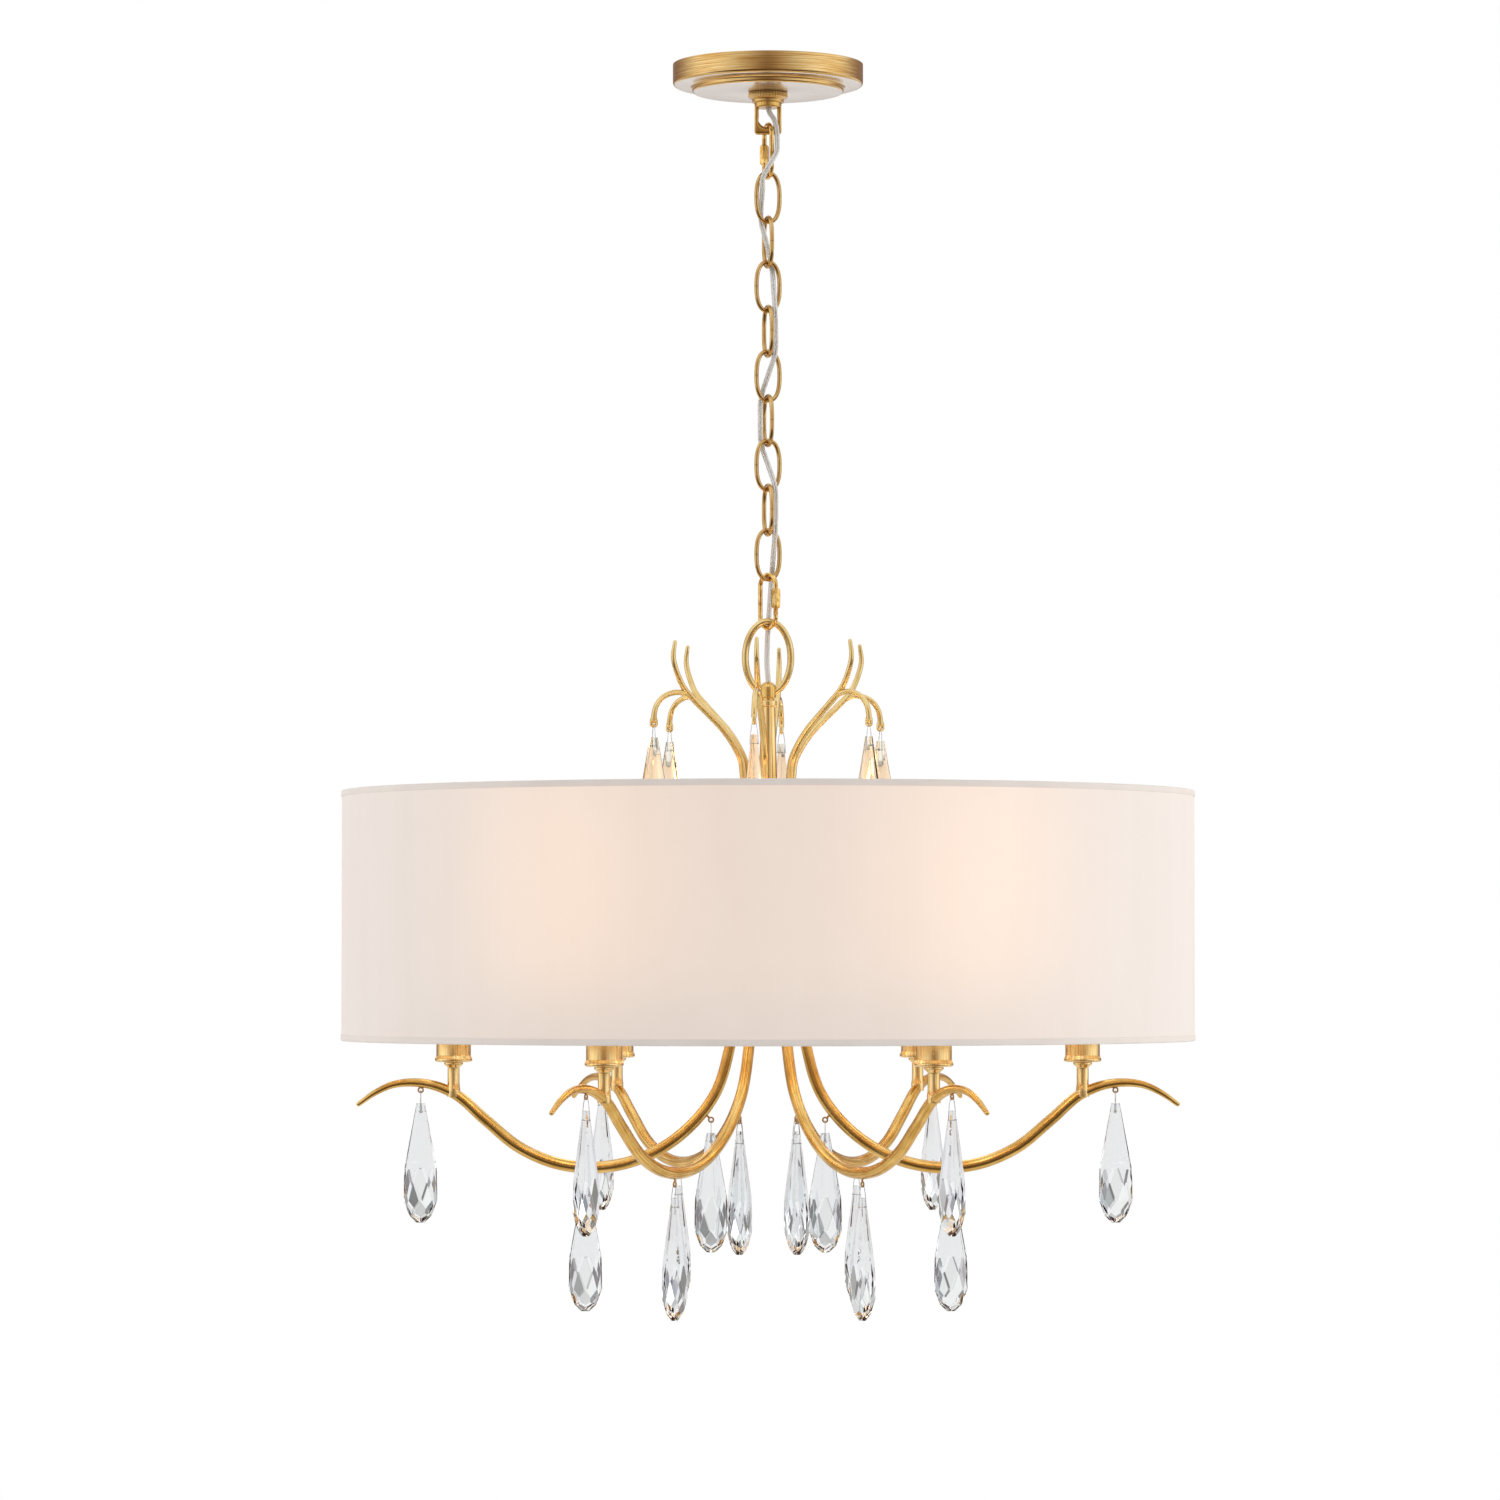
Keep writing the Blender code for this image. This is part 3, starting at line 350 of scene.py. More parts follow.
def makeCloth(name, cloth):
    material, shader, add = newMaterial(name)
    uv = add("UVMap", uv_map="surface")
    # a wave's scale of 0.314 gives one thread to the unit
    across, along = [add("TexWave", {
        "Vector": uv, "Scale": 0.314 / cloth["threadSpacing"], "Distortion": 1.2, "Detail": 1.0,
        "Detail Scale": 2.0}, bands_direction=axis).outputs["Fac"] for axis in "XY"]
    weave = add("Math", {0: across, 1: along}, operation="MULTIPLY")
    stretched = add("Mapping", {"Vector": uv, "Scale": (4.0, 1 / cloth["slub"], 1)})
    slubs = add("TexNoise", {"Vector": stretched, "Scale": 1.0, "Detail": 4.0})
    threads = 0.0
    for pattern, share in ((weave, cloth["weaveShare"]), (slubs, 1 - cloth["weaveShare"])):
        threads = add("Math", {0: pattern, 1: share, 2: threads}, operation="MULTIPLY_ADD")
    setInputs(shader, {
        "Base Color": setRamp(add("ValToRGB", {"Fac": threads}), (0.25, 0.65),
                              (cloth["weft"], cloth["warp"])),
        "Roughness": 0.9, "Specular IOR Level": 0.2,
        "Normal": add("Bump", {
            "Height": weave, "Strength": 0.25, "Distance": cloth["weaveDepth"]}),
    })
    if not cloth["paintedGlowPeak"]:
        return material
    # painted lamp glow, a peak near each lamp over a fainter glow all over: the cloth glows though
    # it is no lamp.
    # Distance over the cloth to the nearest of the six lamps, one every 60 degrees
    spot = add("SeparateXYZ", {"Vector": add("TexCoord").outputs["Object"]}).outputs
    angle = add("Math", {0: spot["Y"], 1: spot["X"]}, operation="ARCTAN2")
    turns = add("Math", {0: angle, 1: 3 / math.pi, 2: 0.5}, operation="MULTIPLY_ADD")
    part = add("Math", {0: turns}, operation="FRACT")
    between = math.pi / 3 * cloth["radius"]
    off = add("Math", {0: part, 1: between, 2: -between / 2}, operation="MULTIPLY_ADD")
    down = add("Math", {0: spot["Z"], 1: -cloth["paintedGlowHeight"]}, operation="ADD")
    apart = add("VectorMath", {0: add("CombineXYZ", {"X": off, "Y": down})}, operation="LENGTH")
    near = add("MapRange", {
        "Value": apart, "From Min": 0.0, "From Max": 2 * cloth["paintedGlowReach"],
        "To Min": cloth["paintedGlowPeak"], "To Max": cloth["paintedGlowAround"],
    }, interpolation_type="SMOOTHERSTEP")
    # the painted glow fades towards the sides, where daylight outshines the lamps, and towards the
    # lower edge, which it leaves darker as painted shade
    aside = add("Math", {0: spot["X"]}, operation="ABSOLUTE")
    fade = add("MapRange", {
        "Value": aside, "From Min": cloth["paintedGlowFadeFrom"], "From Max": cloth["radius"], "To Min": 1.0,
        "To Max": cloth["paintedGlowFadeTo"],
    }, interpolation_type="SMOOTHSTEP")
    bottom, lit = cloth["paintedShadeLowEdge"]
    low = add("MapRange", {
        "Value": spot["Z"], "From Min": bottom, "From Max": lit, "To Min": cloth["paintedShadeLowShare"],
        "To Max": 1.0,
    }, interpolation_type="SMOOTHSTEP")
    glow = near
    for share in (fade, low):
        glow = add("Math", {0: glow, 1: share}, operation="MULTIPLY")
    setInputs(shader, {
        "Emission Strength": glow, "Emission Color": toLinear(cloth["paintedGlowColour"])})
    return material


shadeFabricPaintedGlow = makeCloth("CreamShadeClothPaintedGlow", shadeCloth)
# The edge is the same cloth folded over a wire: doubled, it lets no light through and greys.
# That grey is painted shade in its slightly darker colour, and it takes none of the painted glow
hemTape = makeCloth("FoldedHemTape", {
    **shadeCloth, "warp": "#F8EEE6", "weft": "#F0E6DE", "threadSpacing": 0.0009, "paintedGlowPeak": 0,
})


# The lead is clear PVC over tinned strands: silver grey with a wet shine
def makeLead():
    material, shader, add = newMaterial("ClearPvcOverTinnedCopper")
    # fine strands run almost straight along each conductor
    strands = add("TexWave", {
        "Vector": add("UVMap", uv_map="surface"), "Scale": 420.0, "Distortion": 1.5, "Detail": 1.0,
    }, bands_direction="Y").outputs["Fac"]
    ramp = setRamp(add("ValToRGB", {"Fac": strands}), (0.1, 0.5, 0.9),
                   ("#CFCAC2", "#E3DFD9", "#F4F2EE"))
    setInputs(shader, {
        "Base Color": ramp, "Metallic": 0.08, "Roughness": 0.34, "Coat Weight": 0.7,
        "Coat Roughness": 0.12})
    return material


clearLead = makeLead()


# Soft-white lamp glass, lit low: the coating inside scatters, so the whole bulb glows evenly
def makeBulbGlass():
    material, shader, add = newMaterial("SoftWhiteLampGlass")
    powder = add("TexNoise", {
        "Vector": add("TexCoord").outputs["Object"], "Scale": 120.0, "Detail": 2.0})
    ramp = setRamp(add("ValToRGB", {"Fac": powder}), (0.3, 0.7), ("#FFF1DC", "#FFF8EC"))
    setInputs(shader, {
        "Base Color": ramp, "Roughness": 0.25, "Emission Color": toLinear("#FFD3A0"),
        "Emission Strength": 7.0})
    return material


bulbGlass = makeBulbGlass()
print("materials ready")


def anglesRound(count):
    return 2 * math.pi * np.arange(count) / count


def ringRow(angles, reach, height, aside=0.0):
    reach = np.broadcast_to(reach, len(angles))
    return [(aside + r * math.cos(a), r * math.sin(a), height) for r, a in zip(reach, angles)]


def gridForm(rows, along=False, capped=True, material=0, swapped=False):
    # rows of points round a piece, one row for each place along it
    rows = np.asarray(rows, float)
    n, m = rows.shape[:2]
    steps = np.linalg.norm(np.diff(rows, axis=0), axis=2).mean(axis=1)
    u = np.concatenate([[0], np.cumsum(steps)])
    closing = float(np.linalg.norm(rows[0] - rows[-1], axis=1).mean())
    ring = np.linalg.norm(np.roll(rows, -1, axis=1) - rows, axis=2).sum(axis=1).max()
    faces, uvs = [], []
    for i in range(n if along else n - 1):
        k = (i + 1) % n
        u0, u1 = u[i], u[k] if k else u[-1] + closing
        for j in range(m):
            h = (j + 1) % m
            v0, v1 = ring * j / m, ring * (j + 1) / m
            faces.append((i * m + j, i * m + h, k * m + h, k * m + j))
            uvs += [(u0, v0), (u0, v1), (u1, v1), (u1, v0)]
    if capped and not along:
        for row in (0, n - 1):
            faces.append(tuple(row * m + j for j in range(m)))
            uvs += [tuple(rows[row, j, :2]) for j in range(m)]
    if swapped:
        uvs = [(second, first) for first, second in uvs]
    return {"verts": rows.reshape(-1, 3), "faces": faces, "uvs": uvs, "material": material}


def tubeForm(points, radii, sides=16, along=False, up=(0, 1, 0), material=0):
    points = np.asarray(points, float)
    radii = np.broadcast_to(np.asarray(radii, float), len(points))
    if along:
        tangents = np.roll(points, -1, axis=0) - np.roll(points, 1, axis=0)
    else:
        tangents = np.gradient(points, axis=0)
    tangents /= np.linalg.norm(tangents, axis=1)[:, None]
    side = np.cross(tangents, np.asarray(up, float))
    side /= np.linalg.norm(side, axis=1)[:, None]
    lift = np.cross(side, tangents)
    angles = anglesRound(sides)
    rows = (points[:, None, :] + radii[:, None, None] * (
        np.cos(angles)[None, :, None] * side[:, None, :]
        + np.sin(angles)[None, :, None] * lift[:, None, :]))
    return gridForm(rows, along=along, material=material)


def latheForm(profile, sides=64, along=True, centre=(0, 0, 0), material=0, swapped=False):
    angles = anglesRound(sides)
    rows = [[(r * math.cos(a) + centre[0], r * math.sin(a) + centre[1], z + centre[2])
             for a in angles] for r, z in profile]
    return gridForm(rows, along=along, capped=False, material=material, swapped=swapped)


def softened(corners, steps=4):
    # a profile with rounded corners, each given as radius, height and how far the round reaches
    count = len(corners)
    profile = []
    for i, (r, z, reach) in enumerate(corners):
        here = np.array((r, z), float)
        if not reach:
            profile.append((r, z))
            continue
        ends = []
        for corner in (corners[i - 1], corners[(i + 1) % count]):
            side = np.array(corner[:2], float) - here
            length = np.linalg.norm(side)
            ends.append(here + side / length * min(reach, length / 2))
        start, end = ends
        for t in np.linspace(0, 1, steps + 1):
            profile.append(tuple((1 - t) ** 2 * start + 2 * t * (1 - t) * here + t * t * end))
    return profile


def buildMesh(name, forms, materials, sharpAngle=35):
    verts, faces, uvs, slots = [], [], [], []
    base = 0
    for form in forms:
        verts.append(np.asarray(form["verts"], float))
        faces += [tuple(base + v for v in face) for face in form["faces"]]
        uvs += form["uvs"]
        slots += [form["material"]] * len(form["faces"])
        base += len(form["verts"])
    mesh = bpy.data.meshes.new(name)
    mesh.from_pydata(np.concatenate(verts).tolist(), [], faces)
    layer = mesh.uv_layers.new(name="surface")
    layer.data.foreach_set("uv", np.asarray(uvs, np.float32).ravel())
    mesh.polygons.foreach_set("material_index", slots)
    for material in materials:
        mesh.materials.append(material)
    work = bmesh.new()
    work.from_mesh(mesh)
    bmesh.ops.remove_doubles(work, verts=work.verts, dist=1e-7)
    bmesh.ops.recalc_face_normals(work, faces=work.faces)
    work.to_mesh(mesh)
    work.free()
    mesh.shade_smooth()
    mesh.set_sharp_from_angle(angle=math.radians(sharpAngle))
    return mesh


def placePiece(name, mesh, body, nodes=(), place=(0, 0, 0), turn=0.0):
    piece = bpy.data.objects.new(name, mesh)
    scene.collection.objects.link(piece)
    piece.location = place
    piece.rotation_euler = (0, 0, turn)
    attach(piece, body)
    if nodes:
        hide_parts(*nodes)
    return piece


def runLengths(points):
    steps = np.linalg.norm(np.diff(points[:, :3], axis=0), axis=1)
    return np.concatenate([[0], np.cumsum(steps)])


def smoothRoute(knots, count):
    # a smooth curve through the knots, with its points the same distance apart
    knots = np.array(knots, float)
    at = runLengths(knots)
    slopes = np.gradient(knots, at, axis=0)
    dense = []
    for i in range(len(knots) - 1):
        span = at[i + 1] - at[i]
        for t in np.linspace(0, 1, 24, endpoint=False):
            dense.append((2 * t**3 - 3 * t**2 + 1) * knots[i]
                         + (t**3 - 2 * t**2 + t) * span * slopes[i]
                         + (3 * t**2 - 2 * t**3) * knots[i + 1]
                         + (t**3 - t**2) * span * slopes[i + 1])
    dense = np.array(dense + [knots[-1]])
    run = runLengths(dense)
    places = np.linspace(0, run[-1], count)
    return np.stack([np.interp(places, run, column) for column in dense.T], axis=1)


def densify(points, spacing):
    points = [np.array(p, float) for p in points]
    out = []
    for a, b in zip(points, points[1:]):
        count = max(1, int(round(np.linalg.norm(b - a) / spacing)))
        out += [a + (b - a) * k / count for k in range(count)]
    return out + [points[-1]]


def threadTurns(start, stop, pitch, steps):
    # one turn after another, and where the last one ends; a step is a radius and its place
    profile, z = [], start
    while z < stop if pitch > 0 else z > stop:
        profile += [(radius, z + into) for radius, into in steps]
        z += pitch
    return profile, z


def hexFlats(radius, angles):
    # how far out a nut's flats lie, where its corners would lie at the radius
    sixth = math.pi / 6
    return radius * math.cos(sixth) / np.cos((angles + sixth) % (2 * sixth) - sixth)


# The lead is laced through the chain, with its twin conductors side by side
lead = {
    "strandRadius": 0.00105, "halfSpread": 0.00098, "points": 320, "sides": 14, "chainTurn": 19,
    "firstCut": -0.04, "lastCut": -0.46,
    "head": [
        (0, 0, -0.004), (0, 0, -0.018), (0, 0, -0.032),
        (0.0012, -0.0009, -0.0374), (0.0046, -0.0036, -0.043), (0.0063, -0.0053, -0.049),
        (0.0069, -0.0063, -0.055), (0.0072, -0.0075, -0.062), (0.0067, -0.0098, -0.069),
        (0.0033, -0.0125, -0.076), (-0.0008, -0.0118, -0.083), (-0.004, -0.0078, -0.09),
    ],
    "inChain": [
        (-0.0052, -0.0018, -0.097), (-0.0048, 0.0006, -0.1034), (-0.0043, 0.0042, -0.1208),
        (0, 0.004, -0.1382), (0.0043, 0.0042, -0.1556), (0.0045, 0, -0.173),
        (0.0043, -0.0042, -0.1904), (0.0048, -0.0044, -0.2078), (0.0043, -0.0042, -0.2252),
        (0, 0, -0.2426), (-0.0043, 0.0042, -0.26), (-0.0048, 0.0044, -0.2774),
        (-0.0043, 0.0042, -0.2948), (0, 0, -0.3122), (0.0043, -0.0042, -0.3296),
        (0.0048, -0.0044, -0.347), (0.0044, -0.0042, -0.3644), (0.0046, 0.001, -0.383),
        (0.0045, 0.0044, -0.399),
    ],
    "foot": [
        (0.0015, 0.0058, -0.418), (0.0003, 0.0058, -0.436), (-0.0006, 0.0036, -0.452),
        (-0.0008, 0.001, -0.468), (0, 0, -0.479), (0, 0, -0.49),
        (0, 0, -0.52),
    ],
}
# Heights at which the chain is hinged, from the ceiling down
hingeHeights = [-0.0517, -0.08815] + [-0.12275 - 0.0348 * i for i in range(9)] + [-0.43895]


def laceLead():
    turn = Matrix.Rotation(math.radians(lead["chainTurn"]), 4, "Z")
    inChain = [tuple(turn @ Vector(p)) for p in lead["inChain"]]
    route = smoothRoute(lead["head"] + inChain + lead["foot"], lead["points"])
    tangents = np.gradient(route, axis=0)
    side = np.cross(tangents, (0, 1, 0))
    side /= np.linalg.norm(side, axis=1)[:, None]
    # the lead is cut where one link's stretch ends and the next begins, half way between hinges
    middles = [(a + b) / 2 for a, b in zip(hingeHeights, hingeHeights[1:])]
    cuts = [lead["firstCut"]] + middles + [lead["lastCut"]]
    heights, count = route[:, 2], np.arange(len(route))
    starts = [heights[0]] + cuts
    ends = cuts + [heights[-1]]
    for index, (high, low) in enumerate(zip(starts, ends)):
        inside = np.where((heights < high - 1e-5) & (heights > low + 1e-5))[0]
        first, last = [[np.interp(-z, -heights, count)] for z in (high, low)]
        places = np.concatenate([first, inside, last])
        centre, across = [np.stack([np.interp(places, count, column) for column in line.T], axis=1)
                          for line in (route, side)]
        forms = [tubeForm(centre + sign * lead["halfSpread"] * across, lead["strandRadius"],
                          lead["sides"]) for sign in (-1, 1)]
        mesh = buildMesh(f"leadStretch{index}", forms, [clearLead])
        piece = bpy.data.objects.new(f"leadStretch{index}", mesh)
        scene.collection.objects.link(piece)
        if index in (0, len(starts) - 1):
            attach(piece, "ceiling_mount" if index == 0 else "fixture")
        else:
            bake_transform(piece)
        if index == 0:
            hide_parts("power_cord")


laceLead()
print("lead laced")


canopy = {
    "radius": 0.074, "height": 0.0167, "stepRadius": 0.059, "depth": 0.0219, "wall": 0.0012,
    "hole": 0.011, "sides": 160,
}


def makeCanopy():
    r, s, w = canopy["radius"], canopy["stepRadius"], canopy["wall"]
    low, deep = -canopy["height"], -canopy["depth"]
    profile = softened([
        (r, 0, 0.0002), (r, low, 0.003), (s + 0.0012, low, 0.001), (s, low - 0.0012, 0.001),
        (s, deep, 0.0026), (canopy["hole"], deep, 0.0003), (canopy["hole"], deep + w, 0.0002),
        (s - w, deep + w, 0.0018), (s - w, low + w, 0.001), (r - w, low + w, 0.0022),
        (r - w, 0, 0.0002),
    ], 6)
    # spun while it was brushed, so its streaks run round it
    form = latheForm(profile, canopy["sides"], swapped=True)
    mesh = buildMesh("canopyShell", [form], [rimGoldPaintedDim, paintedReflectionGold], 50)
    # faces that look down take the painted floor reflection
    for face in mesh.polygons:
        if face.normal.z < -0.9:
            face.material_index = 1
    placePiece("canopyShell", mesh, "canopy_cover", ["canopy"])


collar = {
    "top": -0.0222, "radius": 0.0153, "flange": 0.0036, "footRadius": 0.0122, "bottom": -0.03,
    "bore": 0.0108, "teeth": 44, "toothDepth": 0.00045, "toothedRim": 0.0012,
}


def makeCollar():
    top, low = collar["top"], collar["bottom"]
    edge = top - collar["flange"]
    r, f = collar["radius"], collar["footRadius"]
    profile = softened([
        (r, top, 0.0006), (r, edge, 0.0008), (f + 0.0006, edge - 0.0009, 0.0004),
        (f, edge - 0.002, 0.0006), (f, low, 0.0008), (collar["bore"], low, 0.0002),
        (collar["bore"], top, 0.0002),
    ])
    angles = anglesRound(collar["teeth"] * 6)
    # coin edge: fine upright ridges round the flange only
    ridge = collar["toothDepth"] * (0.5 - 0.5 * np.cos(angles * collar["teeth"]))
    rows = []
    for radius, height in profile:
        share = np.clip((radius - (r - collar["toothedRim"])) / collar["toothedRim"], 0, 1)
        rows.append(ringRow(angles, radius - ridge * share, height))
    mesh = buildMesh("collarRing", [gridForm(rows, along=True, swapped=True)], [rimGoldPaintedDim], 60)
    placePiece("collarRing", mesh, "canopy_cover", ["canopy_collar"])


loop = {
    "bossRadius": 0.0104, "bossTop": -0.0199, "bossBottom": -0.0338, "bottom": -0.0546,
    "halfWidth": 0.0104, "leg": 0.0033, "barTop": -0.0488, "thickness": 0.005, "shank": 0.005,
    "bore": 0.0027, "rounding": 0.0018, "roundedPart": 0.32, "rootDepth": 0.012,
    "shankTop": -0.0003, "threadTop": -0.0008, "threadPitch": 0.00127, "threadRoot": 0.0001,
    "threadCrest": 0.00025, "threadCore": 0.0046,
}


def makeLoop():
    r, top, low = loop["bossRadius"], loop["bossTop"], loop["bossBottom"]
    boss = softened([
        (loop["shank"], loop["shankTop"], 0.0004), (loop["shank"], top, 0), (r, top, 0.0006),
        (r, low, 0.0012), (loop["bore"], low, 0.0006), (loop["bore"], loop["shankTop"], 0),
    ])
    forms = [latheForm(boss, 64)]
    root, crest = loop["shank"] - loop["threadRoot"], loop["shank"] + loop["threadCrest"]
    ridges = threadTurns(loop["threadTop"], top, -loop["threadPitch"],
                         [(root, 0), (crest, -0.0003), (root, -0.00063)])[0]
    core = loop["threadCore"]
    forms.append(latheForm([(core, -0.0006)] + ridges + [(core, top)], 48))
    # the stirrup: square outside, with a window that narrows to a seat for the quick link
    h, low = loop["halfWidth"], loop["bottom"]
    i, seat, root = h - loop["leg"], loop["barTop"], top - loop["rootDepth"]
    halves = [
        ((h, root), (i, root)), ((h, -0.04), (i, -0.04)), ((h, -0.0455), (i, -0.0446)),
        ((h, -0.049), (0.86 * i, -0.046)), ((h, low + 0.0022), (0.62 * i, -0.0477)),
        ((h - 0.0006, low + 0.0007), (0.44 * i, -0.0484)), ((h - 0.002, low), (0.3 * i, seat)),
        ((h - 0.005, low), (0.16 * i, seat)), ((0, low), (0, seat)),
    ]
    pairs = [((-a[0], a[1]), (-b[0], b[1])) for a, b in halves] + halves[-2::-1]
    rows = []
    sides = [smoothRoute([(x, 0, z) for x, z in side], 73) for side in zip(*pairs)]
    for outer, inner in zip(*sides):
        across = outer - inner
        width = np.linalg.norm(across)
        across /= width
        # the seat is rounder than the legs, so the quick link rolls over it without a catch
        corner = min(loop["rounding"], loop["roundedPart"] * width)
        row = []
        for sx, sy in ((1, 1), (-1, 1), (-1, -1), (1, -1)):
            for t in (np.linspace(0, 1, 5) if sx == sy else np.linspace(1, 0, 5)):
                a = t * math.pi / 2
                x = width / 2 - corner + corner * math.cos(a)
                y = loop["thickness"] / 2 - corner + corner * math.sin(a)
                row.append((outer + inner) / 2 + sx * x * across + np.array((0, sy * y, 0)))
        rows.append(row)
    forms.append(gridForm(rows))
    mesh = buildMesh("canopyLoop", forms, [gold], 40)
    placePiece("canopyLoop", mesh, "ceiling_mount", ["canopy_loop"])


makeCanopy()
makeCollar()
makeLoop()
print("canopy, collar and loop ready")


quickLink = {
    "length": 0.0449, "width": 0.021, "wire": 0.0035, "nutLength": 0.0152, "nutRadius": 0.0037,
    "nutOffset": 0.0168, "sides": 20, "spacing": 0.0012, "intoNut": 0.0029,
    # the thread that the nut runs on: from inside the nut to beyond its end
    "threadFoot": 0.0075, "threadHead": 0.0046, "threadPitch": 0.0007, "threadCrest": 0.00014,
    "threadRoot": 0.00004, "nutSides": 72, "nutRound": 0.0018, "nutDraw": 0.0011,
    "nutSlack": 0.00022, "nutChamfer": 0.0004,
}


def halfTurn(radius, middle, start, steps):
    return [(radius * math.cos(start + math.pi * k / steps), 0,
             middle + radius * math.sin(start + math.pi * k / steps)) for k in range(steps + 1)]


def makeQuickLink(side, top, pivot, turn, nutUp):
    q = quickLink
    name, node, body = f"{side}QuickLink", f"{side}_quick_link", f"{side}_link"
    turn = math.radians(turn)
    radius = (q["width"] - q["wire"]) / 2
    end = q["length"] / 2
    reach = end - q["wire"] / 2 - radius
    flip = 1 if nutUp else -1
    middle = top + q["wire"] / 2 - end - pivot
    farEnd = end - (q["nutOffset"] + q["nutLength"] - q["intoNut"])
    nearEnd = end - (q["nutOffset"] + q["threadFoot"])
    points = [(radius, 0, nearEnd)] + halfTurn(radius, reach, 0, 20)
    points += halfTurn(radius, -reach, math.pi, 20) + [(radius, 0, farEnd)]
    points = densify([(x, y, middle + flip * z) for x, y, z in points], q["spacing"])
    forms = [tubeForm(points, q["wire"] / 2, q["sides"])]
    crest, root = q["wire"] / 2 + q["threadCrest"], q["wire"] / 2 - q["threadRoot"]
    ridges, last = threadTurns(nearEnd, end - q["nutOffset"] + q["threadHead"], q["threadPitch"],
                               [(root, 0), (crest, q["threadPitch"] * 0.5)])
    ridges = [(root * 0.6, nearEnd)] + ridges + [(root, last), (root * 0.6, last)]
    ridges = [(r, middle + flip * z) for r, z in ridges]
    forms.append(latheForm(ridges, 28, centre=(radius, 0, 0)))
    mesh = buildMesh(name, forms, [hammeredGold], 40)
    placePiece(name, mesh, body, [node], (0, 0, pivot), turn)
    # sleeve nut: six flats with turned, rounded ends
    nutMiddle = middle + flip * (end - q["nutOffset"] - q["nutLength"] / 2)
    half, rounded = q["nutLength"] / 2, q["nutRound"]
    angles = anglesRound(q["nutSides"])
    flats = hexFlats(q["nutRadius"], angles)
    rows = []
    for z in np.concatenate([np.linspace(-half, -half + rounded, 7),
                             np.linspace(half - rounded, half, 7)]):
        inward = max(0.0, 1 - (half - abs(z)) / rounded)
        cap = q["nutRadius"] - q["nutDraw"] * inward ** 2
        rows.append(ringRow(angles, np.minimum(flats, cap), nutMiddle + z, radius))
    bore, chamfer = q["wire"] / 2 + q["nutSlack"], q["nutChamfer"]
    for z, wider in ((half, chamfer), (half - chamfer, 0), (chamfer - half, 0), (-half, chamfer)):
        rows.append(ringRow(angles, bore + wider, nutMiddle + z, radius))
    nut = buildMesh(name + "Nut", [gridForm(rows, along=True)], [hammeredGold], 30)
    placePiece(name + "Nut", nut, body + "_nut", [node + "_nut"], (0, 0, pivot), turn)


chain = {
    "halfLength": 0.0191, "halfWidth": 0.00945, "wire": 0.00338, "count": 9, "firstTop": -0.08455,
    "pitch": 0.0348, "span": 0.0382, "turn": 19, "sides": 18, "seamDepth": 0.00028,
    "points": 80, "fullness": 0.82, "seamRings": (0.0004, 0.00016, 0.0, -0.00016, -0.0004),
}


def makeChain():
    across, up = chain["halfWidth"], chain["halfLength"]
    pivot = hingeHeights[1]
    top = chain["firstTop"]
    for number in range(1, chain["count"] + 1):
        middle = top - pivot - up
        points = []
        for a in anglesRound(chain["points"]):
            c, d = math.cos(a), math.sin(a)
            points.append((across * math.copysign(abs(c) ** chain["fullness"], c), 0,
                           middle + up * math.copysign(abs(d) ** chain["fullness"], d)))
        # the butt seam of the closed wire, half way down the left bar
        seam = [(-across, 0, middle + offset) for offset in chain["seamRings"]]
        half = chain["points"] // 2
        points = points[:half] + seam + points[half + 1:]
        radii = [chain["wire"] / 2] * len(points)
        radii[half + 2] -= chain["seamDepth"]
        tube = tubeForm(points, radii, chain["sides"], along=True)
        mesh = buildMesh(f"chainLink{number}", [tube], [chainGold], 50)
        turn = math.radians(chain["turn"] + (0 if number % 2 else 90))
        placePiece(f"chainLink{number}", mesh, f"link_{number}", [f"chain_link_{number}"],
                   (0, 0, pivot), turn)
        pivot = top - chain["span"]
        top -= chain["pitch"]


# each quick link's top, its hinge's height, its turn, and whether its nut is in the upper half
makeQuickLink("top", -0.04675, hingeHeights[0], chain["turn"] + 90, True)
makeChain()
makeQuickLink("bottom", -0.39755, hingeHeights[-2], -47, False)
print("chain ready")


ringAndStem = {
    "ringWidth": 0.0406, "ringHeight": 0.0616, "ringWire": 0.0053, "ringTop": -0.43385,
    "capRadius": 0.0062, "capTop": -0.4809, "capBottom": -0.4933, "stemTop": -0.4953,
    "neckRadius": 0.00665, "neckHeight": 0.0045, "topRadius": 0.0055, "radius": 0.007,
    "taper": 0.055, "shoulder": -0.6387, "end": -0.6998, "bore": 0.0027, "tenon": 0.005,
    "boreTop": -0.5031, "threadTop": -0.6925, "threadPitch": 0.00127, "threadCore": 0.0046,
    "threadRoot": 0.0049, "threadCrest": 0.0052, "spigot": 0.0046, "spigotDepth": 0.0095,
}
stemNut = {
    "corner": 0.0095, "bore": 0.0054, "top": -0.6903, "bottom": -0.6968, "sides": 72,
    # chamfer: depth from the face, and how wide the nut may be there
    "chamfer": [(0, 0.008), (0.0007, 0.0092), (0.0012, 0.01)],
}


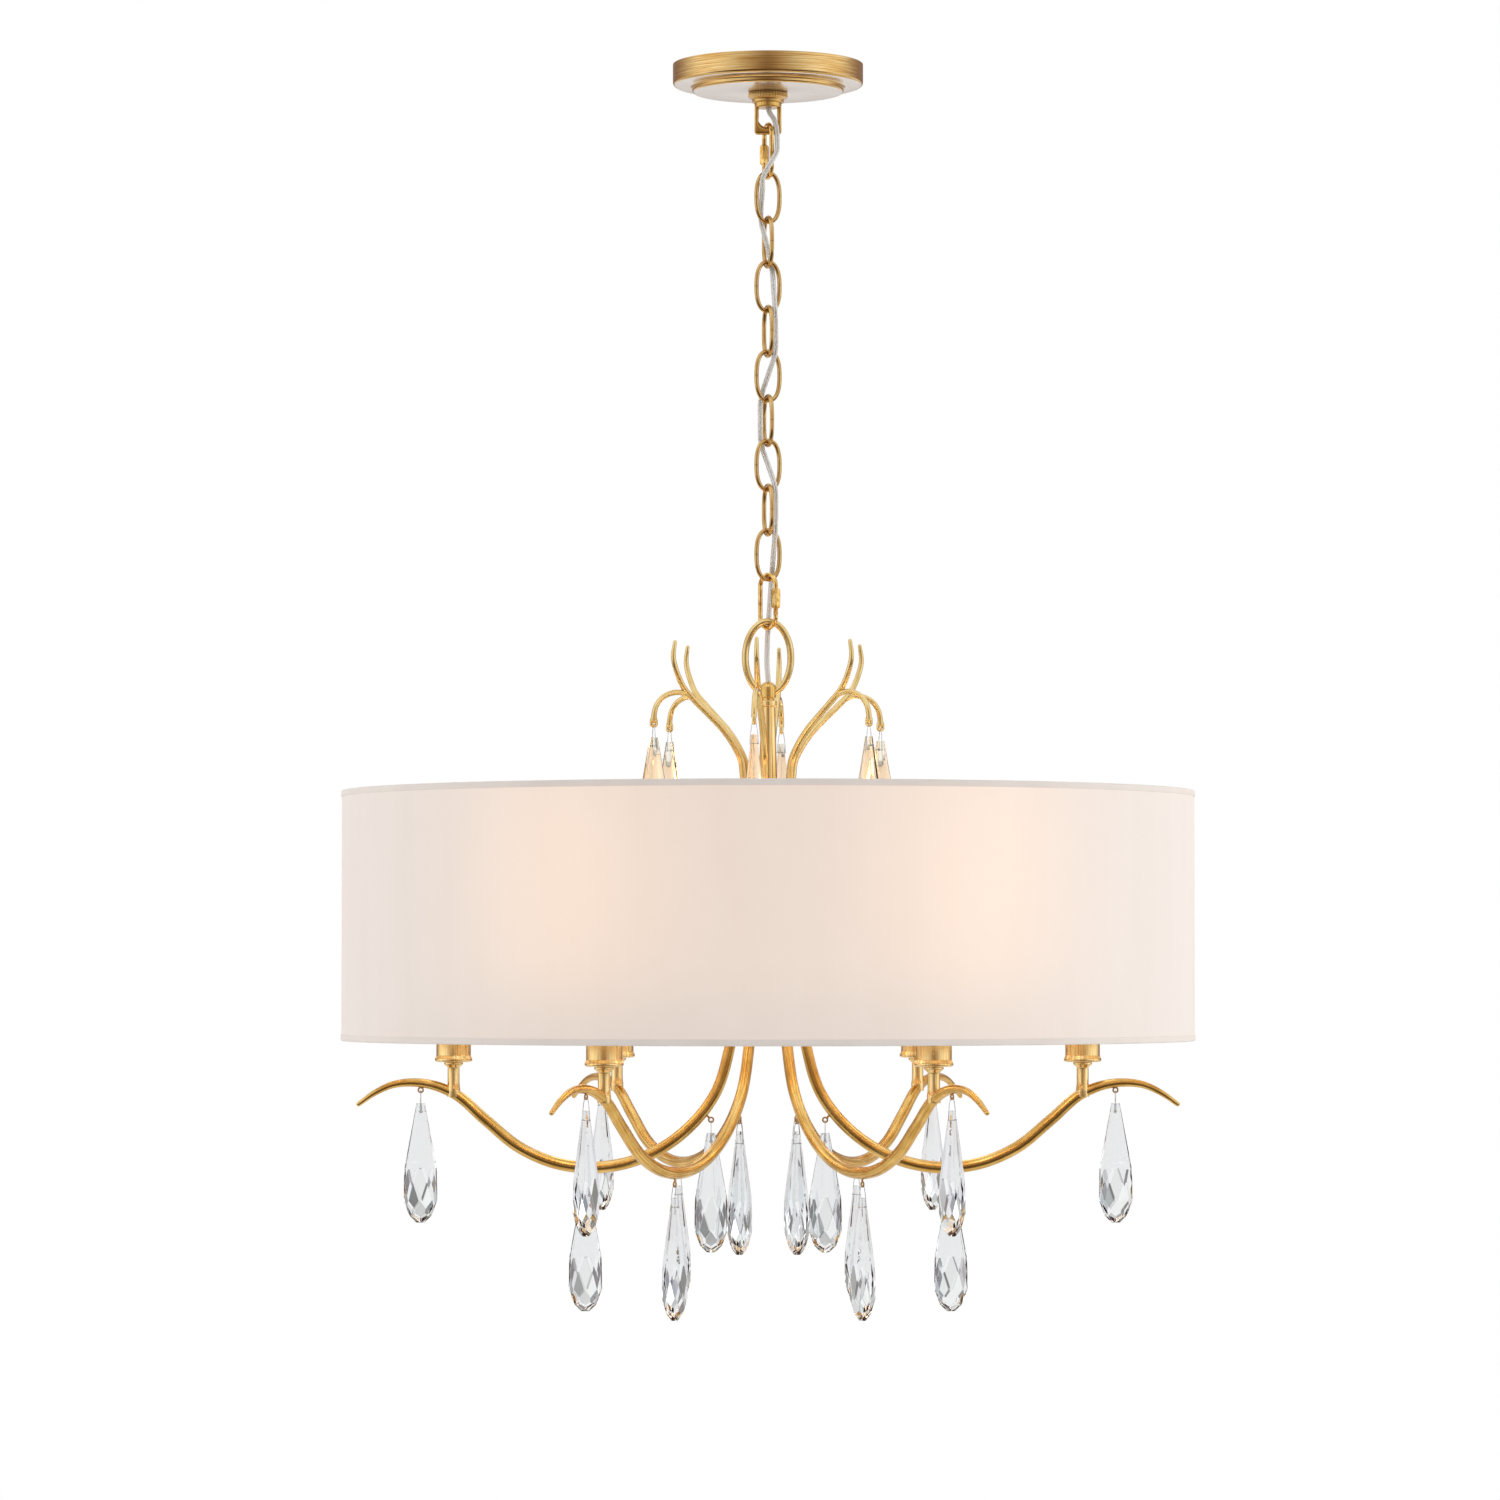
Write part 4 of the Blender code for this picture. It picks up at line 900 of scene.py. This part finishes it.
def makeRingAndStem():
    s = ringAndStem
    across, up = (s["ringWidth"] - s["ringWire"]) / 2, (s["ringHeight"] - s["ringWire"]) / 2
    middle = s["ringTop"] - up
    points = [(across * math.cos(a), 0, middle + up * math.sin(a)) for a in anglesRound(120)]
    forms = [tubeForm(points, s["ringWire"] / 2, 22, along=True)]
    c, top, low = s["capRadius"], s["capTop"], s["capBottom"]
    cap = softened([
        (0.0003, top, 0), (c * 0.55, top - 0.0001, 0.0012), (c, top - 0.003, 0.0016),
        (c, low, 0.0007), (s["spigot"], low, 0.0002), (s["spigot"], low - s["spigotDepth"], 0),
        (0.0003, low - s["spigotDepth"], 0),
    ], 6)
    forms.append(latheForm(cap, 56, along=False, material=1))
    mesh = buildMesh("hangingRing", forms, [branchGold, gold], 50)
    placePiece("hangingRing", mesh, "fixture", ["hanging_loop"])
    neck, t = s["stemTop"] - s["neckHeight"], s["tenon"]
    profile = softened([
        (s["neckRadius"], s["stemTop"], 0.0009), (s["neckRadius"], neck, 0.0009),
        (s["topRadius"], neck - 0.0006, 0.0004), (s["radius"], neck - s["taper"], 0.02),
        (s["radius"], s["shoulder"], 0.0003), (t, s["shoulder"], 0), (t, s["end"], 0.0005),
        (s["bore"], s["end"], 0), (s["bore"], s["boreTop"], 0), (t, s["boreTop"], 0),
        (t, s["stemTop"], 0.0003),
    ], 8)
    ridges, last = threadTurns(s["threadTop"], s["end"] + 0.001, -s["threadPitch"],
                               [(s["threadRoot"], 0), (s["threadCrest"], -0.0005)])
    core = s["threadCore"]
    thread = latheForm([(core, s["threadTop"])] + ridges + [(core, last)], 40)
    mesh = buildMesh("stemTube", [latheForm(profile, 56), thread], [satinGoldPaintedBright], 45)
    placePiece("stemTube", mesh, "fixture", ["stem"])
    # the nut under the hub: six flats, chamfered top and bottom
    nut = stemNut
    angles = anglesRound(nut["sides"])
    flats = hexFlats(nut["corner"], angles)
    faces = [(nut["top"] - depth, cap) for depth, cap in nut["chamfer"]]
    faces += [(nut["bottom"] + depth, cap) for depth, cap in nut["chamfer"][::-1]]
    rows = [ringRow(angles, np.minimum(flats, cap), z) for z, cap in faces]
    rows += [ringRow(angles, nut["bore"], nut[z]) for z in ("bottom", "top")]
    mesh = buildMesh("stemNut", [gridForm(rows, along=True)], [zincPlate], 30)
    placePiece("stemNut", mesh, "fixture", ["stem_nut"])


makeRingAndStem()
print("ring and stem ready")


hub = {
    "crownRadius": 0.0265, "radius": 0.031, "top": -0.6413, "bottom": -0.69, "bore": 0.0054,
}
branch = {
    "turn": 23.5, "reach": 0.0959, "rise": 0.19, "diameter": 0.0054,
    "stalk": [(0.219, -0.02), (0.2185, 0.462), (0.2367, 0.5247), (0.2847, 0.5721), (0.391, 0.6437),
              (0.5224, 0.7074), (0.6538, 0.7679), (0.7351, 0.8116), (0.7915, 0.8668),
              (0.83, 0.9379), (0.8154, 1)],
    "stalkShares": [1.0, 1.0, 1.0, 0.98, 0.95, 0.92, 0.9, 0.86, 0.79, 0.71, 0.54],
    "hook": [(0.6, 0.745), (0.66, 0.772), (0.75, 0.793), (0.8551, 0.79), (0.935, 0.768),
             (0.98, 0.737), (0.997, 0.705), (1, 0.679)],
    "hookShares": [0.84, 0.82, 0.8, 0.79, 0.77, 0.76, 0.78, 0.8],
    "eyeHeight": 0.6647,
    "collar": 0.0034, "collarBore": 0.0024, "collarHalf": 0.001, "tipRings": (0.45, 0.8, 0.98),
    "lobe": {"hole": 0.00095, "thickness": 0.0027, "above": 0.0058, "beside": 0.0031,
             "below": 0.0029, "edge": 0.0008, "steps": 40,
             "squareAbove": 3.2, "squareBelow": 2.2},
}
eyelet = {"radius": 0.00185, "wire": 0.0013, "points": 28, "shank": 0.0008}


def eyeletForm(middle):
    points = [(middle[0] + eyelet["radius"] * math.cos(a), middle[1],
               middle[2] + eyelet["radius"] * math.sin(a)) for a in anglesRound(eyelet["points"])]
    return tubeForm(points, eyelet["wire"] / 2, 12, along=True, material=1)


def lobeForm(middle, lobe):
    # the hook's end, hammered flat and pierced: a plate whose outline swells round the hole
    rows = []
    for a in anglesRound(lobe["steps"]):
        up, across = math.sin(a), math.cos(a)
        tall = lobe["above" if up > 0 else "below"]
        power = lobe["squareAbove" if up > 0 else "squareBelow"]
        spread = (abs(across) / lobe["beside"]) ** power + (abs(up) / tall) ** power
        outer = 1 / spread ** (1 / power)
        inner, half, edge = lobe["hole"], lobe["thickness"] / 2, lobe["edge"]
        section = [(inner + edge / 2, half), (outer - edge, half), (outer, half - edge),
                   (outer, edge - half), (outer - edge, -half), (inner + edge / 2, -half),
                   (inner, edge / 2 - half), (inner, half - edge / 2)]
        rows.append([(middle[0] + r * across, middle[1] + y, middle[2] + r * up)
                     for r, y in section])
    return gridForm(rows, along=True)


def roundedTip(route):
    # three short rings that draw the end in, so that a twig ends in a small dome
    route = list(route)
    last, before = np.array(route[-1]), np.array(route[-2])
    along = (last[:3] - before[:3]) / np.linalg.norm(last[:3] - before[:3])
    r = last[3]
    for share in branch["tipRings"]:
        point = last[:3] + along * r * share
        route.append(np.array([*point, r * math.sqrt(max(1 - share * share, 0.02))]))
    return np.array(route)


def taperedRoute(knots, shares, reach, top, rise, diameter, count, start=()):
    # knots are shares of reach and rise, and each carries its own share of the diameter
    points = [(r * reach, 0, top + z * rise, diameter / 2 * share)
              for (r, z), share in zip(knots, shares)]
    return smoothRoute([(points[0][0], 0, z, points[0][3]) for z in start] + points, count)


def makeHub():
    h = hub
    waist = (h["top"] + h["bottom"]) / 2
    profile = softened([
        (h["crownRadius"], h["top"], 0.004), (h["crownRadius"], waist + 0.003, 0.001),
        (h["radius"], waist, 0.0022), (h["radius"], h["bottom"], 0.004),
        (h["bore"], h["bottom"], 0.0003), (h["bore"], h["top"], 0.0003),
    ], 7)
    mesh = buildMesh("turnedHub", [latheForm(profile, 96)], [gold], 40)
    placePiece("turnedHub", mesh, "fixture", ["branch_hub"])
    b = branch
    stalk, hook = [
        taperedRoute(b[part], b[part + "Shares"], b["reach"], h["top"], b["rise"], b["diameter"],
                     count) for part, count in (("stalk", 84), ("hook", 34))]
    stalk = roundedTip(stalk)
    forms = [tubeForm(stalk[:, :3], stalk[:, 3], 18), tubeForm(hook[:, :3], hook[:, 3], 16),
             lobeForm((b["reach"], 0, h["top"] + b["eyeHeight"] * b["rise"]), b["lobe"])]
    # a small collar where the stalk enters the hub
    foot = b["stalk"][0][0] * b["reach"]
    outer, inner = b["collar"], b["collarBore"]
    low, high = h["top"] - b["collarHalf"], h["top"] + b["collarHalf"]
    forms.append(latheForm(softened([
        (outer, low, 0), (outer, high, 0.0005), (inner, high, 0), (inner, low, 0),
    ]), 28, centre=(foot, 0, 0)))
    mesh = buildMesh("branch", forms, [branchGold], 50)
    for number in range(6):
        placePiece(f"branch{number + 1}", mesh, "fixture",
                   turn=math.radians(b["turn"] + 60 * number))


makeHub()
print("hub and branches ready")


arm = {
    "reach": 0.3167, "depth": 0.1667, "start": -0.69, "diameter": 0.0089,
    "route": [(0.0758, 0), (0.0789, 0.21), (0.0944, 0.448), (0.1288, 0.656), (0.2033, 0.832),
              (0.3066, 0.954), (0.4282, 1), (0.5147, 0.981), (0.6044, 0.91), (0.6921, 0.776),
              (0.766, 0.658), (0.8206, 0.617), (0.8626, 0.606), (0.9176, 0.617), (0.9618, 0.655),
              (1, 0.706)],
    "shares": [0.92, 0.93, 0.95, 0.97, 1.0, 1.03, 1.04, 1.04, 1.03, 1.0, 0.94, 0.84, 0.75, 0.62,
               0.52, 0.4],
    "intoHub": 0.0117, "postAt": 0.2433, "postRadius": 0.0046,
    "eyes": [(0.26868, -0.79678), (0.14118, -0.86508), (0.04409, -0.8198)],
}
cup = {
    "bottom": -0.77508, "height": 0.09, "radius": 0.01335, "footRadius": 0.0144,
    "footHeight": 0.0035, "wall": 0.001,
}
# radii and heights over the cup's floor, and how far each corner is rounded
lampHolder = {
    "body": [(0.011, 0.0902, 0.0006), (0.011, 0.05, 0), (0.0105, 0.05, 0), (0.0105, 0.012, 0.0004),
             (0.0045, 0.012, 0), (0.0045, 0.03, 0), (0.0072, 0.03, 0), (0.0072, 0.0902, 0.0005)],
    "shell": [(0.007, 0.0893, 0.0001), (0.007, 0.045, 0), (0.0067, 0.045, 0),
              (0.0067, 0.0893, 0.0001)],
}
candleLamp = {
    "tip": [(0.0003, 0.062), (0.0025, 0.0622), (0.003, 0.064), (0.0052, 0.0655)],
    "threadFrom": 0.0655, "threadTo": 0.087, "threadPitch": 0.0018,
    "threadSteps": [(0.0059, 0.0008), (0.0054, 0.0016)],
    "neck": [(0.0058, 0.0895), (0.006, 0.0915), (0.0003, 0.0915)],
    "glass": [(0.0003, 0.0915), (0.0058, 0.0915), (0.0066, 0.093), (0.008, 0.0965),
              (0.0108, 0.102), (0.0136, 0.108), (0.0157, 0.115), (0.0168, 0.122), (0.0171, 0.129),
              (0.0166, 0.136), (0.0153, 0.143), (0.0133, 0.15), (0.0108, 0.157), (0.0082, 0.163),
              (0.0056, 0.168), (0.0032, 0.1715), (0.0012, 0.1732), (0.0003, 0.1735)],
}


def makeArms():
    a = arm
    route = roundedTip(taperedRoute(
        a["route"], a["shares"], a["reach"], a["start"], -a["depth"], a["diameter"], 150,
        [a["start"] + a["intoHub"]]))
    forms = [tubeForm(route[:, :3], route[:, 3], 20)]
    for x, z in a["eyes"]:
        middle = np.array((x, 0, z))
        forms.append(eyeletForm(middle))
        near = route[np.argmin(np.linalg.norm(route[:, :3] - middle, axis=1))]
        toward = (near[:3] - middle) / np.linalg.norm(near[:3] - middle)
        forms.append(tubeForm([middle + toward * eyelet["radius"], near[:3]], eyelet["shank"], 12,
                              material=1))
    # the lamp post: a small flared foot on the arm, a plain stem and a flange under the cup
    flange = cup["bottom"] - 0.0003
    foot = float(route[np.argmin(np.abs(route[:, 0] - a["postAt"])), 2])
    p = a["postRadius"]
    forms.append(latheForm(softened([
        (0.0003, foot - 0.002, 0), (p + 0.0003, foot - 0.002, 0),
        (p + 0.0006, foot + 0.0034, 0.001), (p, foot + 0.0075, 0.003),
        (p, flange - 0.004, 0.0006), (p + 0.001, flange - 0.003, 0.0008),
        (0.0066, flange - 0.0022, 0.0004), (0.0073, flange - 0.0016, 0.0004),
        (0.0073, flange, 0.0003), (0.004, flange, 0), (0.004, flange + 0.009, 0.0004),
        (0.0003, flange + 0.009, 0),
    ]), 40, along=False, centre=(a["postAt"], 0, 0), material=2))
    mesh = buildMesh("arm", forms, [gold, brownGold, satinGoldPaintedBright], 50)
    for number in range(6):
        placePiece(f"arm{number + 1}", mesh, "fixture", [f"arm_{number + 1}"],
                   turn=math.radians(60 * number))


def makeCups():
    c = cup
    r, f, h = c["radius"], c["footRadius"], c["footHeight"]
    profile = softened([
        (r, c["height"], 0.0003), (r, h + 0.0012, 0.0006), (f - 0.0004, h, 0.0004),
        (f, h - 0.0009, 0.0005), (f, 0.0008, 0.0005), (f - 0.0014, 0, 0.0004), (0.0043, 0, 0),
        (0.0043, 0.0015, 0), (r - c["wall"], 0.0015, 0.0005), (r - c["wall"], c["height"], 0.0003),
    ])
    mesh = buildMesh("cup", [latheForm(profile, 72)], [satinGoldPaintedBright], 45)
    # ivory holder with a nickelled screw shell in its mouth
    holder, shell = [softened(lampHolder[part]) for part in ("body", "shell")]
    holderMesh = buildMesh("lampHolder", [
        latheForm(holder, 48), latheForm(shell, 40, material=1)], [phenolic, lampBrass], 40)
    # candle lamp: screw base, and a soft-white glass that swells and draws in to a blunt tip
    lamp = candleLamp
    base = lamp["tip"] + threadTurns(lamp["threadFrom"], lamp["threadTo"], lamp["threadPitch"],
                                     lamp["threadSteps"])[0] + lamp["neck"]
    bulb = buildMesh("candleLamp", [
        latheForm(base, 36, along=False), latheForm(lamp["glass"], 48, along=False, material=1)],
        [lampBrass, bulbGlass], 50)
    for number in range(6):
        turn = math.radians(60 * number)
        place = (arm["postAt"] * math.cos(turn), arm["postAt"] * math.sin(turn), c["bottom"])
        placePiece(f"candleCup{number + 1}", mesh, "fixture", [f"candle_cup_{number + 1}"],
                   place, turn)
        placePiece(f"lampHolder{number + 1}", holderMesh, "fixture", (), place, turn)
        placePiece(f"candleLamp{number + 1}", bulb, "fixture", (), place, turn)


makeArms()
makeCups()
print("arms and lamps ready")


shade = {
    "radius": 0.33, "top": -0.5658, "bottom": -0.7584, "hem": 0.0048, "proud": 0.0006,
    "clothThickness": 0.0007, "clothInset": 0.002, "sides": 256,
    "liningInset": 0.004, "liningGap": 0.0001, "liningThickness": 0.0005,
    "seamWidth": 0.011, "seamSteps": 9, "seamOver": 0.00035, "seamUnder": 0.0002,
}


def makeShade():
    s = shade
    face, n = s["radius"] - s["proud"], s["sides"]
    high, low = s["top"], s["bottom"]
    t, inset = s["clothThickness"], s["clothInset"]
    cloth = [(face, high - inset), (face, low + inset), (face - t, low + inset),
             (face - t, high - inset), (face, high - inset)]
    # thirty rings down the cloth keep the weave's scale even
    mesh = buildMesh("shadeCloth", [latheForm(densify(cloth, 0.0065)[:-1], n)], [shadeFabricPaintedGlow], 50)
    placePiece("shadeCloth", mesh, "fixture", ["shade_cover"])
    inner, inset = face - t - s["liningGap"], s["liningInset"]
    within = inner - s["liningThickness"]
    lining = [(inner, high - inset), (inner, low + inset), (within, low + inset),
              (within, high - inset), (inner, high - inset)]
    mesh = buildMesh("shadeLining", [latheForm(densify(lining, 0.02)[:-1], n)], [styrene], 50)
    placePiece("shadeLining", mesh, "fixture", ())
    r = s["radius"]
    for name, edge, sign in (("topHem", high, -1), ("bottomHem", low, 1)):
        h = s["hem"] * sign
        tape = softened([
            (r, edge, 0.0014), (r - 0.0001, edge + h, 0.0003), (face - 0.0003, edge + h, 0),
            (face - 0.0003, edge + 0.003 * sign, 0), (inner - 0.0006, edge + 0.003 * sign, 0),
            (inner - 0.0006, edge + h, 0), (inner - 0.0012, edge + h, 0.0002),
            (r - 0.0036, edge, 0.0012),
        ], 5)
        mesh = buildMesh(name, [latheForm(tape, n)], [hemTape], 50)
        placePiece(name, mesh, "fixture", ())
    # the cloth's overlap is a straight seam down the back
    angles = math.pi / 2 + np.linspace(-0.5, 0.5, s["seamSteps"]) * s["seamWidth"] / r
    over, under = face + s["seamOver"], face - s["seamUnder"]
    rows = [ringRow(angles, over, z) + ringRow(angles[::-1], under, z)
            for z in np.linspace(high - s["hem"], low + s["hem"], 24)]
    mesh = buildMesh("shadeSeam", [gridForm(rows)], [shadeFabricPaintedGlow], 30)
    placePiece("shadeSeam", mesh, "fixture", ())


shadeFrame = {
    "wire": 0.0016, "inset": 0.0039, "drop": 0.0028, "turn": 53.5,
    "washer": [(0.0135, -0.639, 0.0004), (0.0135, -0.641, 0.0004), (0.0054, -0.641, 0.0002),
               (0.0054, -0.639, 0.0002)],
    "spoke": [(0.01, -0.6388), (0.015, -0.6378), (0.1, -0.619), (0.21, -0.595)],
    "spokeBend": (0.01, -0.5722),
}


def makeShadeFrame():
    s = shadeFrame
    wire, height = s["wire"], shade["top"] - s["drop"]
    ring = shade["radius"] - s["inset"] - wire
    forms = [tubeForm(ringRow(anglesRound(160), ring, height), wire, 12, along=True, up=(0, 0, 1))]
    forms.append(latheForm(softened(s["washer"]), 48))
    short, bendHeight = s["spokeBend"]
    knots = s["spoke"] + [(ring - short, bendHeight), (ring, height)]
    for k in range(3):
        turn = math.radians(s["turn"] + 120 * k)
        c, d = math.cos(turn), math.sin(turn)
        points = smoothRoute([(r * c, r * d, z) for r, z in knots], 40)
        forms.append(tubeForm(points, wire, 12, up=(-d, c, 0)))
    mesh = buildMesh("shadeSpider", forms, [zincPlate], 45)
    placePiece("shadeSpider", mesh, "fixture", ["shade_frame"])


makeShade()
makeShadeFrame()
print("shade ready")


crystal = {
    "length": 0.092, "width": 0.0258, "thickness": 0.0162, "holeDepth": 0.007, "bevel": 0.0001,
    "bailDrop": 0.0168, "bailWire": 0.0006, "bailThroat": 0.0016, "bailHalf": 0.003,
    "bead": [(0.0002, -0.0007), (0.0008, -0.0005), (0.001, 0), (0.0008, 0.0005), (0.0002, 0.0007)],
    # outline of the blank before it is cut: share of the length, share of the half width
    "outline": [(-0.02, 0.225), (0.1, 0.365), (0.25, 0.575), (0.4, 0.77), (0.52, 0.895),
                (0.64, 0.98), (0.74, 0.995), (0.82, 0.935), (0.89, 0.8), (0.945, 0.6),
                (0.98, 0.37), (1, 0.12)],
    # rows of facets: where the cutter touches the blank, how many cuts, and their half-step turn
    "cuts": [(0.1, 8, 0.5), (0.31, 8, 0.0), (0.5, 8, 0.5), (0.66, 8, 0.0), (0.79, 8, 0.5),
             (0.89, 8, 0.0), (0.965, 8, 0.5)],
}


def makeCrystalMeshes():
    c = crystal
    top = -c["bailDrop"] + c["holeDepth"]
    outline = np.array(c["outline"])
    half = c["width"] / 2
    work = bmesh.new()
    bmesh.ops.create_cube(work, size=1)
    bmesh.ops.scale(work, vec=(c["width"] * 1.1, c["width"] * 1.1, c["length"]), verts=work.verts)
    bmesh.ops.translate(work, vec=(0, 0, top - c["length"] / 2), verts=work.verts)
    # each facet is one flat cut, touching a round blank; the drop is then as thin as the real one
    for at, count, turn in c["cuts"]:
        ahead, behind = np.interp([at + 0.012, at - 0.012], outline[:, 0], outline[:, 1])
        slope = (ahead - behind) * half / (0.024 * c["length"])
        reach = np.interp(at, outline[:, 0], outline[:, 1]) * half
        for number in range(count):
            angle = 2 * math.pi * (number + turn) / count
            touch = (reach * math.cos(angle), reach * math.sin(angle), top - c["length"] * at)
            out = Vector((math.cos(angle), math.sin(angle), slope)).normalized()
            cut = bmesh.ops.bisect_plane(
                work, geom=work.verts[:] + work.edges[:] + work.faces[:], dist=1e-7, plane_co=touch,
                plane_no=out, clear_outer=True)
            edges = [g for g in cut["geom_cut"] if isinstance(g, bmesh.types.BMEdge)]
            if len(edges) > 2:
                bmesh.ops.contextual_create(work, geom=edges)
    bmesh.ops.scale(work, vec=(1, c["thickness"] / c["width"], 1), verts=work.verts)
    bmesh.ops.bevel(work, geom=list(work.edges), offset=c["bevel"], segments=1, affect="EDGES",
                    clamp_overlap=True)
    bmesh.ops.recalc_face_normals(work, faces=work.faces)
    drop = bpy.data.meshes.new("crystalDrop")
    work.to_mesh(drop)
    work.free()
    drop.shade_flat()
    # the bail: a loop of bright wire through the drop's hole, closed over the eyelet
    throat, half, fall = c["bailThroat"], c["bailHalf"], c["bailDrop"]
    side = [(throat * 0.8, -0.0006), (throat, -0.002), (half, -fall + 0.003),
            (half, -fall + 0.0008), (half * 0.6, -fall)]
    points = [(0, 0)] + side + [(0, -fall)] + [(-y, z) for y, z in side[::-1]] + [(0, 0)]
    ring = smoothRoute([(0, y, z) for y, z in points], 64)[:-1]
    forms = [tubeForm(ring, c["bailWire"] / 2, 10, along=True, up=(1, 0, 0))]
    # bead of the pin, on each side of the hole
    for side in (-1, 1):
        forms.append(latheForm(c["bead"], 14, along=False, centre=(0, side * half, -fall)))
    bail = buildMesh("crystalBail", forms, [stainlessWire], 50)
    return drop, bail


crystalPlaces = {
    "tip": ("tip_crystal", 0.26868, -0.79718, 0.0),
    "low": ("low_crystal", 0.14118, -0.86548, 0.0),
    "inner": ("inner_crystal", 0.04409, -0.8202, 0.0),
    "branch": ("branch_crystal", 0.0959, -0.51541, 23.5),
}


def makeCrystals():
    drop, bail = makeCrystalMeshes()
    warmDrop = drop.copy()
    drop.materials.append(crystalGlass)
    warmDrop.materials.append(warmCrystalGlass)
    for spot, (node, radius, height, start) in crystalPlaces.items():
        for number in range(1, 7):
            turn = math.radians(start + 60 * (number - 1))
            place = (radius * math.cos(turn), radius * math.sin(turn), height)
            name = f"{node}_{number}"
            glass = warmDrop if spot == "branch" else drop
            placePiece(f"{spot}Drop{number}", glass, name, [name], place, turn)
            placePiece(f"{spot}Bail{number}", bail, name, (), place, turn)


makeCrystals()
print("crystals ready")


# What the canopy hides: the crossbar and the two screws that hold it to the ceiling box
boxScrew = {
    "apart": 0.035, "underBar": -0.0022, "headRadius": 0.0038, "headHeight": 0.0023,
    "shankRadius": 0.0018, "pitch": 0.0008, "threadDepth": 0.0003, "crown": 0.0009,
    "crossHalf": 0.002, "crossWide": 0.0005, "crossDeep": 0.0004,
}


def makeCrossbar():
    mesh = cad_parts["crossbar"].data
    mesh.materials.clear()
    mesh.materials.append(zincPlate)


def makeBoxScrews():
    b = boxScrew
    seat = b["underBar"]
    low = seat - b["headHeight"]
    crown = [(b["headRadius"] * math.cos(a), low + b["crown"] - b["crown"] * math.sin(a))
             for a in np.linspace(0, math.pi / 2 * 0.96, 7)]
    thread = threadTurns(seat, -b["pitch"], b["pitch"], [
        (b["shankRadius"], 0), (b["shankRadius"] - b["threadDepth"], b["pitch"] / 2)])[0]
    profile = [(0.0003, 0.0)] + thread[::-1] + [(b["headRadius"], seat)] + crown + [(0.0003, low)]
    head = latheForm(profile, 40, along=False)
    # the cross recess is read as two dark slots sunk into the crown: painted shadow in dark zinc
    slots = []
    for half, wide in ((b["crossHalf"], b["crossWide"]), (b["crossWide"], b["crossHalf"])):
        rows = [[(sx * half, sy * wide, z) for sx, sy in ((1, 1), (-1, 1), (-1, -1), (1, -1))]
                for z in (low - 0.00005, low + b["crossDeep"])]
        slots.append(gridForm(rows, material=1))
    mesh = buildMesh("boxScrew", [head] + slots, [zincPlate, paintedRecessShadow], 40)
    for number, sign in enumerate((-1, 1)):
        placePiece(f"boxScrew{number + 1}", mesh, "ceiling_mount", (), (sign * b["apart"], 0, 0))


makeCrossbar()
makeBoxScrews()
print("crossbar ready")
